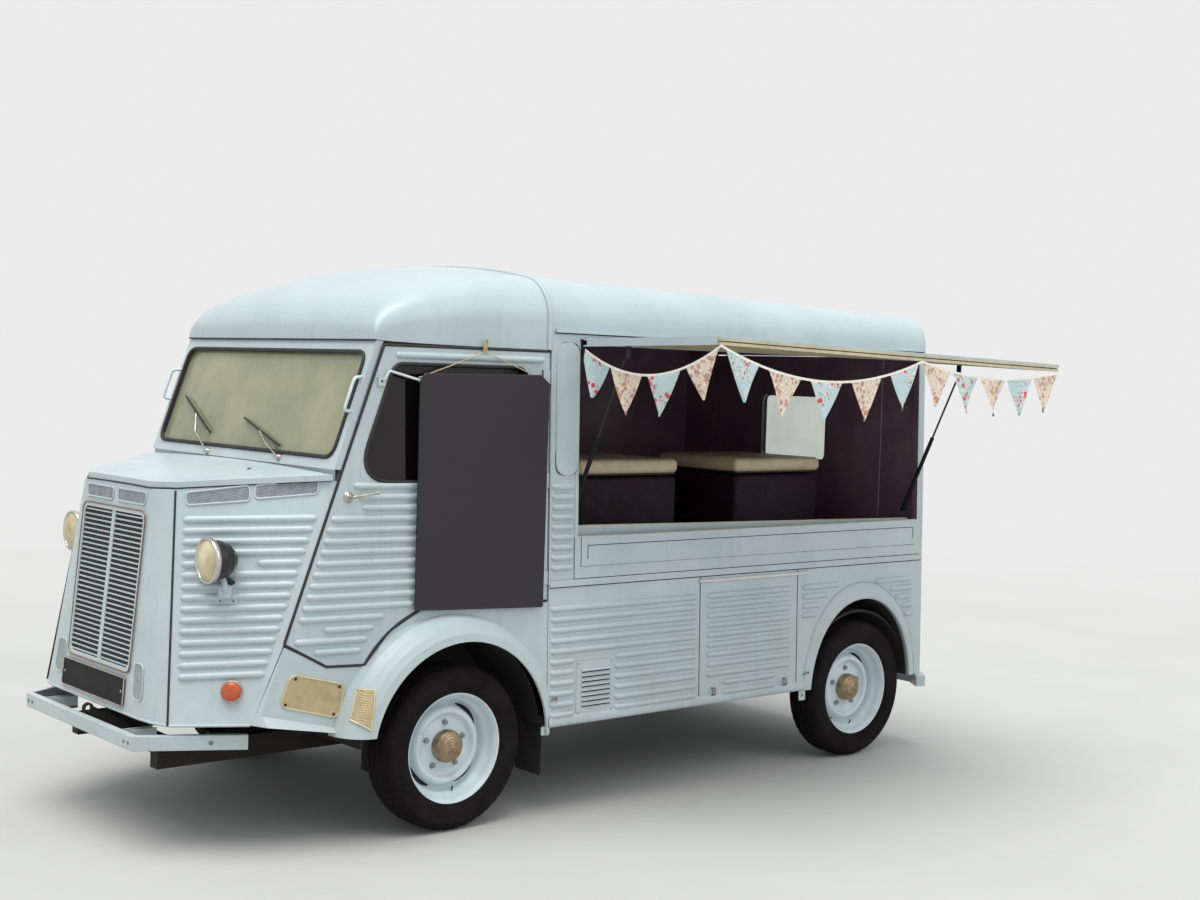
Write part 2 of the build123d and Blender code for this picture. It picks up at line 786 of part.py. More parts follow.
def bonnet_slope():
    front_x = nose_top_x
    rear_x = screen_x(screen_frame_low_z)
    return math.degrees(math.atan2(bonnet_rear_z - bonnet_front_z, front_x - rear_x))


def under_bonnet(drop):
    """Everything below the bonnet's top face less drop."""
    half = 900.0
    top = bonnet_rear_z - drop
    side = top - bonnet_crown
    face = make_face(Curve() + [ThreePointArc((half, side), (0, top), (-half, side)),
                                Line((-half, side), (-half, 200)), Line((-half, 200), (half, 200)),
                                Line((half, 200), (half, side))])
    rear_x = screen_x(screen_frame_low_z)
    solid = end_prism(face, rear_x - 400, rear_x + 1000)
    return solid.rotate(Axis((rear_x, 0, bonnet_rear_z), (0, 1, 0)), bonnet_slope())


def make_bonnet():
    rear_x = screen_x(screen_frame_low_z) + gap
    corner_x, corner_y = corner_top
    plan = outline([(rear_x, -bonnet_half), (rear_x, bonnet_half), (corner_x, corner_y),
                    (nose_top_x, nose_flat_top_y), (nose_top_x, -nose_flat_top_y), (corner_x, -corner_y)])
    panel = plan_prism(plan, 1300, 1600) & (under_bonnet(0) - under_bonnet(bonnet_thick))
    pin_z = bonnet_rear_z - bonnet_crown / 2
    return panel + rod((rear_x, -300, pin_z), (rear_x, 300, pin_z), hinge_r)


def nose_section(z, x_flat, y_flat, corner):
    """The nose sheet cut level at height z: flat front, arcs to the corners, and the inner face."""
    def arc(shift, sign, outward):
        start = (x_flat - shift, sign * y_flat)
        end = (corner[0] - shift, sign * corner[1])
        bulge = 0.22 * (x_flat - corner[0])
        middle = ((start[0] + end[0]) / 2 + bulge, (start[1] + end[1]) / 2)
        return ThreePointArc(start, middle, end) if outward else ThreePointArc(end, middle, start)
    back = nose_thick
    edges = [Line((x_flat, -y_flat), (x_flat, y_flat)), arc(0, 1, True),
             Line(corner, (corner[0] - back, corner[1])), arc(back, 1, False),
             Line((x_flat - back, y_flat), (x_flat - back, -y_flat)), arc(back, -1, True),
             Line((corner[0] - back, -corner[1]), (corner[0], -corner[1])), arc(0, -1, False)]
    return Plane.XY.offset(z) * make_face(Curve() + edges)


def make_nose():
    top = nose_section(nose_top_z, nose_top_x, nose_flat_top_y, corner_top)
    low = nose_section(nose_low_z, nose_low_x, nose_flat_low_y, corner_low)
    sheet = loft([low, top], ruled=True)
    middle_z = (grille_top_z + grille_low_z) / 2
    hole_face = Pos(0, middle_z) * rounded_box_face(2 * grille_half_y, grille_top_z - grille_low_z, 40.0)
    sheet -= end_prism(hole_face, 900, 1400)
    trim = behind_cheek(-200)
    return (sheet - trim - flip(trim)) & under_bonnet(bonnet_thick + gap)


def nose_x(z):
    return nose_top_x + (nose_low_x - nose_top_x) * (nose_top_z - z) / (nose_top_z - nose_low_z)


def make_grille():
    middle_z = (grille_top_z + grille_low_z) / 2
    height = grille_top_z - grille_low_z
    outer = rounded_box_face(2 * grille_half_y, height, 40.0)
    inner = rounded_box_face(2 * (grille_half_y - grille_rim), height - 2 * grille_rim, 26.0)
    ring = end_prism(Pos(0, middle_z) * (outer - inner), 900, 1400)
    lean = outline([(nose_x(600) + 6, 600), (nose_x(1400) + 6, 1400), (nose_x(1400) - nose_thick, 1400),
                    (nose_x(600) - nose_thick, 600)])
    shape = side_prism(lean, -500, 500) & ring
    pitch = (height - 2 * grille_rim) / slat_count
    for i in range(slat_count):
        z = grille_low_z + grille_rim + pitch * (i + 0.5)
        x = nose_x(z)
        slat = outline([(x + 2, z - 5), (x + 2, z + 1), (x - 14, z + 8), (x - 14, z + 4)])
        shape += side_prism(slat, grille_rim / 2 - grille_half_y, grille_half_y - grille_rim / 2)
    bar = side_prism(outline([(nose_x(600) + 4, 600), (nose_x(1400) + 4, 1400), (nose_x(1400) - 14, 1400),
                              (nose_x(600) - 14, 600)]), -14, 14)
    bar &= block(900, 1400, -20, 20, grille_low_z + 4, grille_top_z - 4)
    return shape + bar


def cheek_corners():
    """Corners of the left cheek: nose top, nose bottom, low rear, door corner, top rear."""
    a = Vector(corner_top[0], corner_top[1], nose_top_z)
    high_z = 1470.0
    high = Vector(door_front_x(high_z), 789.0, high_z)
    low = Vector(door_front_x(door_nose_z), 781.0, door_nose_z)
    normal = (high - a).cross(low - a).normalized()
    if normal.Y < 0:
        normal = normal * -1
    return a, high, low, normal


def on_cheek(x, z):
    a, high, low, normal = cheek_corners()
    y = (normal.dot(a) - normal.X * x - normal.Z * z) / normal.Y
    return Vector(x, y, z)


def cheek_plate(points, thick):
    face = make_face(Polyline(*points, close=True))
    return extrude(face, amount=thick, dir=cheek_corners()[3] * -1)


def behind_cheek(thick):
    """Slab behind the whole cheek plane, or before it if thick is negative, to trim what meets it."""
    corners = ((1400, 200), (1400, 1700), (300, 1700), (300, 200))
    return cheek_plate([on_cheek(x, z) for x, z in corners], thick)


def make_cheek():
    points = [on_cheek(corner_top[0] - 6, nose_top_z + 60),
              on_cheek(door_front_x(1560) + gap, 1560),
              on_cheek(door_front_x(door_nose_z) + gap, door_nose_z - 4),
              on_cheek(*cheek_low_rear),
              on_cheek(corner_low[0] + 2, nose_low_z)]
    door_side = outline([(door_front_x(1700) + gap, 1700), (door_front_x(door_nose_z) + gap, door_nose_z - 8),
                         (300, door_nose_z - 8), (300, 1700)])
    plate = cheek_plate(points, cheek_thick) & under_bonnet(bonnet_thick + gap)
    plate = plate - side_prism(door_side, 0, 1200) - nose
    return plate + cheek_ribs()


def cheek_ribs():
    """Ribs that fall a little towards the nose, with a break behind the lamp."""
    normal = cheek_corners()[3]
    seam_run = (corner_low[0] - corner_top[0]) / (nose_top_z - nose_low_z)
    ribs = []
    for line in range(15):
        z = cheek_rib_top_z - cheek_rib_pitch * line
        rear_x = door_front_x(z) + gap + 28
        front_x = corner_top[0] + seam_run * (nose_top_z - z) - 24
        runs = [(rear_x, front_x)]
        if line == 4:
            runs = [(rear_x, rear_x + 130), (front_x - 48, front_x)]
        for run_rear, run_front in runs:
            low_z = z - cheek_rib_drop * (run_front - rear_x) / (front_x - rear_x)
            high_z = z - cheek_rib_drop * (run_rear - rear_x) / (front_x - rear_x)
            ribs.append(rib(on_cheek(run_rear, high_z), on_cheek(run_front, low_z), normal))
    return ribs


def make_wing():
    sheet = toed_in(wall_slab(body_front_x - 100, 1100, 380, 1200, 15.0))
    rear_x = body_front_x + 4
    top_z = door_low_z - door_gap
    edge = [(rear_x, top_z), (148, top_z), (300, 842), (410, 714), (572, 718),
            (door_front_x(door_nose_z) + 2, door_nose_z - 12), cheek_low_rear, (446, 446), (446, 380),
            (rear_x, 380)]
    shape = sheet & side_prism(outline(edge), 400, 1100)
    shape -= flare_filling(0, front_arch_z, front_arch_r, front_flare_r, flare_root_y)
    shape -= behind_cheek(-300)
    shape -= cheek
    ring = flare_ring(0, front_arch_z, front_arch_r, front_flare_r, flare_root_y)
    keep = outline([(rear_x, 357), (rear_x, top_z), (148, top_z), (300, 842), (410, 714), (560, 714),
                    (560, 446), (380, 446), (380, 357)])
    return shape + (ring & side_prism(keep, 780, 1000)) + wing_lip()


def wing_lip():
    """Wedge along the wing's low edge, from the cheek back to the arch, proud at its foot."""
    front, normal = on_door(*cheek_low_rear)
    rear, normal = on_door(446.0, 446.0)
    run = rear - front
    start = Plane(origin=front - normal * 14, x_dir=normal, z_dir=run)
    end = Plane(origin=rear - normal * 14, x_dir=normal, z_dir=run)
    up = 1 if start.y_dir.Z > 0 else -1
    sections = []
    for plane, height in ((start, up * lip_height), (end, up * lip_rear_height)):
        sections.append(plane * outline([(0, 0), (14 + lip_proud, 0), (14, height), (0, height)]))
    wedge = loft(sections, ruled=True) - behind_cheek(-300) - cheek
    return wedge - flare_filling(0, front_arch_z, front_arch_r, front_flare_r, flare_root_y)


# Front and rear bumpers
def bumper_band(inset, depth):
    """Plan of the front bumper's band, from inset behind its face to depth behind it."""
    end_x, end_y = bumper_end
    edges = []
    for back in (inset, depth):
        corner = (bumper_front_x - back, bumper_corner_y - 0.3 * back)
        edges.append([corner, (end_x - 0.5 * back, end_y - back)])
    near = edges[0][::-1] + [(x, -y) for x, y in edges[0]]
    far = edges[1][::-1] + [(x, -y) for x, y in edges[1]]
    return outline(near + far[::-1])


def make_bumpers():
    low_z, high_z = bumper_z
    bar = plan_prism(bumper_band(0, bumper_depth), low_z, high_z)
    bar -= plan_prism(bumper_band(bumper_skin, bumper_depth + 20), low_z + bumper_skin, high_z - bumper_skin)
    for side in (-1, 1):
        y_from, y_to = sorted((side * (rail_y[0] + 5), side * (rail_y[1] - 5)))
        bar += block(1080, bumper_front_x - 5, y_from, y_to, 365, high_z - 15)
    for side in (-1, 1):
        y_from, y_to = sorted((side * 660, side * 930))
        bar += block(bumper_rear_x, body_rear_x, y_from, y_to, 400, 450)
    return bar


def make_headlamps():
    x, y, z = lamp_place
    profile = [(0.001, 0), (lamp_r - 6, 0), (lamp_r, -4), (lamp_r, -14), (lamp_r - 4, -18), (lamp_r - 8, -50),
               (lamp_r - 22, -85), (lamp_r - 48, -112), (0.001, -124)]
    bowl = revolve(Plane.XY * outline([(radius, back) for radius, back in profile]), Axis.Y, 360)
    bowl = Pos(x, y, z) * Rot(0, 0, -90) * bowl
    stem = rod((x - 60, y, z - 60), (x - 150, y - 8, z - 118), 11)
    lamp = (bowl + stem) - behind_cheek(300) - cheek
    return lamp + flip(lamp)


def make_side_lamps():
    place = on_cheek(*indicator_place)
    normal = cheek_corners()[3]
    front = extrude(Plane(origin=place, z_dir=normal) * Circle(indicator_r), amount=26)
    rear = block(bumper_rear_x + 19, body_rear_x, 735, 805, 640, 780)
    return front + flip(front) + rear + flip(rear)


def make_mirror_arms():
    """Tube loops beside the windscreen, standing on the screen frame."""
    shape = None
    for side in (-1, 1):
        high = (screen_x(1855) - 1, side * 765, 1855)
        low = (screen_x(1725) - 1, side * 765, 1725)
        high_out = (high[0] + 38, side * 778, high[2] - 10)
        low_out = (low[0] + 38, side * 778, low[2] + 10)
        loop = rod(high, high_out, 7) + rod(high_out, low_out, 7) + rod(low_out, low, 7)
        for end in (high_out, low_out):
            loop += Pos(*end) * Sphere(7)
        shape = loop if shape is None else shape + loop
    return shape - screen_frame


def make_exhaust():
    y, z = exhaust_place
    pipe = rod((520, y, z), (-1150, y, z), exhaust_r)
    pipe += rod((-1150, y, z), (-1650, y, z), silencer_r)
    pipe += rod((-1650, y, z), (-1900, y, z), exhaust_r)
    for x in crossmember_x[2:6]:
        pipe += block(x - 6, x + 6, y - 12, y + 12, z + 10, rail_low_z + 20)
    return pipe


# Running gear
def many_sided(sections):
    """A solid along y from sections of (y, corner radius), all with the same number of flats."""
    faces = [Plane.XZ.offset(-y) * RegularPolygon(radius, tyre_sides) for y, radius in sections]
    return loft(faces, ruled=True)


def tyre(x, y):
    half = [(tyre_half, 280.0), (tyre_half - 8, 322.0), (66.0, tyre_r - 3), (50.0, tyre_r)]
    outer = [(-out, radius) for out, radius in half] + [(out, radius) for out, radius in half[::-1]]
    shape = many_sided(outer)
    for side in (-1, 1):
        shape -= many_sided([(side * (rim_half - 1), rim_r - 4), (side * tyre_half, 274.0)])
    bore = (rim_r - 6) / math.cos(math.pi / tyre_sides)
    shape -= many_sided([(-tyre_half, bore), (tyre_half, bore)])
    return Pos(x, y, tyre_r) * shape


def wheel(x, y):
    bore_r = stub_r + stub_clearance
    profile = [(rim_r - 6, -rim_half), (rim_r - 6, rim_half), (rim_r - 18, rim_half), (rim_r - 26, 30),
               (150, 0), (110, 22), (52, 22), (52, 50), (30, 58), (0.001, 60), (0.001, 12), (bore_r, 12),
               (bore_r, -12), (60, -12), (60, 0), (104, 8), (150, -14), (rim_r - 22, -10),
               (rim_r - 22, -rim_half)]
    return wheel_turned(profile, x, y, tyre_r)


def make_knuckle():
    y = front_track / 2
    low = lower_arm_z + boss_height / 2 + 1
    high = upper_arm_z - boss_height / 2 - 1
    post = rod((0, kingpin_y, low), (0, kingpin_y, high), post_r)
    post += rod((0, kingpin_y, low - boss_height), (0, kingpin_y, high + boss_height), pin_r)
    hub = disc(0, tyre_r, drum_r, kingpin_y + 35, kingpin_y + 35 + drum_depth)
    stub = block(-30, 30, kingpin_y, kingpin_y + 40, 250, 330)
    stub += disc(0, tyre_r, stub_r, kingpin_y + 36, y + 8)
    arm = block(-150, 0, kingpin_y - 12, kingpin_y + 12, 255, 275)
    return post + hub + stub + arm


def make_suspension():
    shape = None
    for side in (-1, 1):
        for z in (lower_arm_z, upper_arm_z):
            joint = (0, side * kingpin_y, z)
            arm = rod((80, side * rail_y[1], z), joint, 14) + rod((-80, side * rail_y[1], z), joint, 14)
            arm += Pos(*joint) * Cylinder(26, boss_height)
            arm -= Pos(*joint) * Cylinder(pin_r + 0.08, boss_height + 20)
            y_from, y_to = sorted((side * rail_y[0], side * rail_y[1]))
            arm -= block(-200, 200, y_from, y_to, 100, 500)
            shape = arm if shape is None else shape + arm
        stub_end = rear_track / 2 + 8
        pivot_x = trailing_arm - wheelbase
        hub_y = rear_track / 2 - 185
        trailing = rod((pivot_x, side * 440, 345), (-wheelbase, side * hub_y, tyre_r), 36)
        trailing += disc(pivot_x, 345, 40, *sorted((side * 400, side * 480)))
        trailing += disc(-wheelbase, tyre_r, drum_r, *sorted((side * (hub_y + 20), side * (hub_y + 80))))
        trailing += disc(-wheelbase, tyre_r, stub_r, *sorted((side * (hub_y - 20), side * stub_end)))
        shape += trailing
    return shape


def make_flap():
    flap = block(hatch_rear_x + flap_side_gap, hatch_front_x - flap_side_gap, flap_hinge_y + 8,
                 flap_hinge_y + flap_reach, flap_hinge_z - flap_thick, flap_hinge_z)
    inner = block(hatch_rear_x + 60, hatch_front_x - 60, flap_hinge_y + 50, flap_hinge_y + flap_reach - 50,
                  flap_hinge_z - flap_thick - 5, flap_hinge_z - 8)
    flap -= inner
    rear_x, front_x = hatch_rear_x + 30, hatch_front_x - 30
    eye_y = flap_hinge_y + strut_eye_reach
    eye_z = flap_hinge_z - strut_eye_drop
    for x in (rear_x, front_x):
        flap += block(x - 4, x + 4, eye_y - 14, eye_y + 14, eye_z - 10, flap_hinge_z - 20)
    flap += block(rear_x, front_x, flap_hinge_y, flap_hinge_y + 12, flap_hinge_z - 3, flap_hinge_z)
    flap += rod((rear_x, flap_hinge_y, flap_hinge_z), (front_x, flap_hinge_y, flap_hinge_z), hinge_r)
    return flap.rotate(Axis((0, flap_hinge_y, flap_hinge_z), (1, 0, 0)), -flap_droop)


def flap_eye():
    turn = math.radians(-flap_droop)
    y = strut_eye_reach * math.cos(turn) + strut_eye_drop * math.sin(turn)
    z = strut_eye_reach * math.sin(turn) - strut_eye_drop * math.cos(turn)
    return flap_hinge_y + y, flap_hinge_z + z


def make_struts():
    eye_y, eye_z = flap_eye()
    low = Vector(0, strut_low_y, strut_low_z)
    high = Vector(0, eye_y, eye_z)
    along = (high - low).normalized()
    reach = (high - low).length
    cylinders = []
    rods = []
    for x in (hatch_rear_x + 15, hatch_front_x - 15):
        here = Vector(x, 0, 0)
        cylinder = rod(low + here, low + here + along * strut_body, strut_r)
        cylinder += rod((x - 8, strut_low_y, strut_low_z), (x + 8, strut_low_y, strut_low_z), strut_r + 2)
        cylinder -= rod(low + here + along * 30, low + here + along * (strut_body + 1), strut_rod_r + 0.5)
        cylinders.append(cylinder)
        rods.append(rod(low + here + along * strut_rod_start, low + here + along * (reach - 12), strut_rod_r))
    return cylinders[0] + cylinders[1], rods[0] + rods[1]


def make_counter():
    return block(hatch_rear_x, hatch_front_x, 620, 862, counter_z - 25, counter_z)


def freezer(x_from, x_to):
    return block(x_from, x_to, *freezer_y, floor_z, freezer_top_z - gap)


def freezer_lid(x_from, x_to):
    hinge_y = freezer_y[0] - lid_hinge_out
    lid = block(x_from, x_to, *freezer_y, freezer_top_z, freezer_top_z + lid_thick)
    return lid + rod((x_from + 40, hinge_y, freezer_top_z), (x_to - 40, hinge_y, freezer_top_z), hinge_r)


def make_seats():
    seat = block(-330, 120, seat_y - 200, seat_y + 200, 830, 930)
    seat += block(-400, -300, seat_y - 200, seat_y + 200, 860, 1420)
    return seat + flip(seat)


def make_steering_wheel():
    section = Plane.XZ * Pos(200, 0) * RegularPolygon(11, 8)
    ring = revolve(section, Axis.Z, 360)
    ring += Pos(0, 0, -20) * Cylinder(32, 36)
    ring += Pos(0, 0, -9) * Box(394, 18, 8)
    ring += Pos(0, 0, -9) * Box(18, 394, 8)
    ring += Pos(0, 0, -20 - column_length / 2) * Cylinder(column_r, column_length)
    return steering_place() * ring


def make_board():
    face_y = side_y(board_low_z) + board_stand_off
    return toed_in(block(board_x[0], board_x[1], face_y, face_y + board_thick, board_low_z, board_top_z))


def make_bunting():
    """Cloth strip along the flap's front and outer edges, as one closed curtain."""
    top_z = flap_hinge_z - flap_thick - 6
    inner_y = flap_tip_y + bunting_gap
    long_run = block(hatch_rear_x, hatch_front_x + bunting_thick, inner_y, inner_y + bunting_thick,
                     top_z - bunting_drop - 32, top_z - 32)
    front_run = block(hatch_front_x, hatch_front_x + bunting_thick, flap_hinge_y + 30, inner_y,
                      top_z - bunting_drop - 32, top_z - 32)
    return long_run + front_run


os.makedirs("parts", exist_ok=True)

door, door_glass = make_door()
screen_frame, screen_glass = make_screen_frame()
tailgate, tailgate_glass = make_tailgate()
cylinders, rods = make_struts()
nose = make_nose()
cheek = make_cheek()

save("chassis", make_chassis())
save("load_floor", make_floor())
save("cab_floor", make_cab_floor())
save("nose_panel", nose)
save("grille", make_grille())
both_sides("cheek", cheek)
both_sides("wing", make_wing())
save("windscreen_frame", screen_frame)
save("windscreen", screen_glass)
save("cab_roof", make_cab_roof())
save("body_roof", make_body_roof())
both_sides("side_lower", make_side_lower())
save("side_upper_left", make_side_upper(True))
save("side_upper_right", flip(make_side_upper(False)))
save("rear_frame", make_rear_frame())
save("tailgate", tailgate)
save("tailgate_glass", tailgate_glass)
both_sides("rear_door", make_rear_door())
save("serving_flap", make_flap())
save("strut_cylinders", cylinders)
save("strut_rods", rods)
save("counter", make_counter())
save("freezers", freezer(*front_freezer_x) + freezer(*rear_freezer_x))
save("freezer_lid_front", freezer_lid(*front_freezer_x))
save("freezer_lid_rear", freezer_lid(*rear_freezer_x))
both_sides("cab_door", door)
both_sides("door_glass", door_glass)
save("bonnet", make_bonnet())
save("bumpers", make_bumpers())
save("headlamps", make_headlamps())
save("side_lamps", make_side_lamps())
save("mirror_arms", make_mirror_arms())
save("exhaust", make_exhaust())
save("seats", make_seats())
save("steering_wheel", make_steering_wheel())
save("engine_block", block(*engine_x, -engine_half_y, engine_half_y, *engine_z))
save("menu_board", make_board())
save("bunting", make_bunting())
save("suspension_arms", make_suspension())
both_sides("knuckle", make_knuckle())
for place, x, track in (("front", 0.0, front_track), ("rear", -wheelbase, rear_track)):
    both_sides(f"tyre_{place}", tyre(x, track / 2))
    both_sides(f"wheel_{place}", wheel(x, track / 2))
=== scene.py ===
import json
import math
import random

import bmesh
import bpy
from mathutils import Matrix, Vector


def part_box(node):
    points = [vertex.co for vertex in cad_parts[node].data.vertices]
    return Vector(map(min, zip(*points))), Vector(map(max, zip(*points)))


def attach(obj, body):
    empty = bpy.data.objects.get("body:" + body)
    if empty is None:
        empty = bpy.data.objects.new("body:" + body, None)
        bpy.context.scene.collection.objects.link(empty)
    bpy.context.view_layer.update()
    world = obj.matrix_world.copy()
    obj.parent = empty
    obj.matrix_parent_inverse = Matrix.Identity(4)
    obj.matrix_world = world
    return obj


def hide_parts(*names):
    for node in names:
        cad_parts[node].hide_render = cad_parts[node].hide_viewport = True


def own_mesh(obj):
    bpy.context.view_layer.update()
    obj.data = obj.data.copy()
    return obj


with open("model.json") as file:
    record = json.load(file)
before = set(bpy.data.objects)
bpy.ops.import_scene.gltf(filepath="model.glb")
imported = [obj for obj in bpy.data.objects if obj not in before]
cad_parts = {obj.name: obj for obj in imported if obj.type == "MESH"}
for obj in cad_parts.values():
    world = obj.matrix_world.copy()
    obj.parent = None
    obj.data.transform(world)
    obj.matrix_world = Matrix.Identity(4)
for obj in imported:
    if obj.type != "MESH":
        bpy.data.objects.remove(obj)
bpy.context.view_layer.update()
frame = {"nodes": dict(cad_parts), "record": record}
nodes = frame["nodes"]

# Places below are in millimetres from the front axle, the middle plane and the ground, as in part.py.
origin_x = 0.890
roof_low, roof_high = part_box("body_roof")
origin_y = (roof_low.y + roof_high.y) / 2
hands = (("left", 1), ("right", -1))


def at(x, y, z):
    return Vector((x / 1000 + origin_x, y / 1000 + origin_y, z / 1000))


def row(point):
    return at(*point)


def flipped(point):
    return Vector((point.x, -point.y, point.z))


def by_hand(hand, place):
    """A place or way of the left side, or the same on the right side."""
    return place if hand == "left" else flipped(place)


def over(hand, places):
    return [by_hand(hand, place) for place in places]


# Camera, fitted to the photograph: its turn, its focal length in pixels and its place
yaw, pitch, roll = (math.radians(turn) for turn in (-130.993, -2.575, 1.855))
focal, photo_width, sensor = 1651.5, 1200, 36.0
ahead = Vector((math.cos(pitch) * math.cos(yaw), math.cos(pitch) * math.sin(yaw), math.sin(pitch)))
right = Vector((math.sin(yaw), -math.cos(yaw), 0))
above = right.cross(ahead)
side_way = right * math.cos(roll) + above * math.sin(roll)
up_way = above * math.cos(roll) - right * math.sin(roll)
camera_data = bpy.data.cameras.new("camera")
camera_data.sensor_width = sensor
camera_data.lens = focal / photo_width * sensor
camera = bpy.data.objects.new("camera", camera_data)
bpy.context.scene.collection.objects.link(camera)
turned_axes = Matrix((side_way, up_way, -ahead)).transposed().to_4x4()
camera.matrix_world = Matrix.Translation(at(3994, 6328, 1893)) @ turned_axes
bpy.context.scene.camera = camera

# Body surfaces, with the named sizes of part.py
sill_z, gutter_z, side_low_y, side_high_y = 385.0, 2085.0, 936.0, 888.0
screen_top_x, screen_top_z, screen_slope = 387.0, 1958.0, 0.3515
pillar_depth, gap = 34.0, 6.0
body_front_x, body_rear_x = -443.0, -2971.0
door_toe_in, door_pivot_y = 6.84, 905.0
nose_top_z, nose_low_z, nose_top_x, nose_low_x = 1413.0, 507.0, 1078.0, 1161.0
corner_top, corner_low = (1025.0, 404.0), (1121.0, 566.0)
wheel_z, arch_centre_z = 343.0, 359.0
forward, backward, upward = Vector((1, 0, 0)), Vector((-1, 0, 0)), Vector((0, 0, 1))
side_normal = Vector((0, gutter_z - sill_z, side_low_y - side_high_y)).normalized()
nose_normal = Vector((nose_top_z - nose_low_z, 0, nose_low_x - nose_top_x)).normalized()
screen_lean = Vector((1, 0, screen_slope)).normalized()
toe = math.radians(-door_toe_in)
door_normal = Matrix.Rotation(toe, 3, "Z") @ side_normal
board_normal = Matrix.Rotation(toe, 3, "Z") @ Vector((0, 1, 0))


def side_y(z):
    return side_low_y + (side_high_y - side_low_y) * (z - sill_z) / (gutter_z - sill_z)


def screen_x(z):
    return screen_top_x + screen_slope * (screen_top_z - z)


def door_front_x(z):
    return screen_x(z) - pillar_depth - gap


def nose_x(z):
    return nose_top_x + (nose_low_x - nose_top_x) * (nose_top_z - z) / (nose_top_z - nose_low_z)


def bonnet_z(x, y):
    """Height of the bonnet's top face."""
    return 1490.0 - 0.1252 * (x - 550.8) - 22.0 * (y / 900.0) ** 2


def on_side(x, z, out=0.0):
    """A point on the left side wall, out of it by out, in van millimetres."""
    return Vector((x, side_y(z), z)) + side_normal * out


def on_nose(y, z, ahead=0.0):
    return Vector((nose_x(z) + ahead, y, z))


def on_rear(y, z, behind=0.0):
    return Vector((body_rear_x - behind, y, z))


def on_screen(y, z, out=0.0):
    return Vector((screen_x(z), y, z)) + screen_lean * out


def on_plane(x, z, base, normal, out):
    """The point of a plane through base at x and z, out of it by out."""
    y = base.y - (normal.x * (x - base.x) + normal.z * (z - base.z)) / normal.y
    return Vector((x, y, z)) + normal * out


def toed_in(reach, z):
    """A place at the door's rear edge, beside its hinge line by reach."""
    return Vector((body_front_x - reach * math.sin(toe), door_pivot_y + reach * math.cos(toe), z))


def on_door(x, z, out=0.0):
    """A point on the left cab door, which is toed in to the front."""
    return on_plane(x, z, toed_in(side_y(z) - door_pivot_y, z), door_normal, out)


def on_board(x, z, out=0.0):
    """A point on the back of the upright board, toed in like the door."""
    return on_plane(x, z, toed_in(side_y(905.0) + 18.0 - door_pivot_y, z), board_normal, out)


cheek_corner = Vector((*corner_top, nose_top_z))
cheek_high = Vector((door_front_x(1470.0), 789.0, 1470.0))
cheek_low = Vector((door_front_x(820.0), 781.0, 820.0))
cheek_normal = (cheek_high - cheek_corner).cross(cheek_low - cheek_corner).normalized()
if cheek_normal.y < 0:
    cheek_normal = -cheek_normal


def on_cheek(x, z, out=0.0):
    return on_plane(x, z, cheek_corner, cheek_normal, out)


# Materials
def shade(red, green, blue):
    """Linear colour of an sRGB colour in 0 to 255."""
    channels = [c / 255 for c in (red, green, blue)]
    return tuple(c / 12.92 if c < 0.04045 else ((c + 0.055) / 1.055) ** 2.4 for c in channels) + (1.0,)


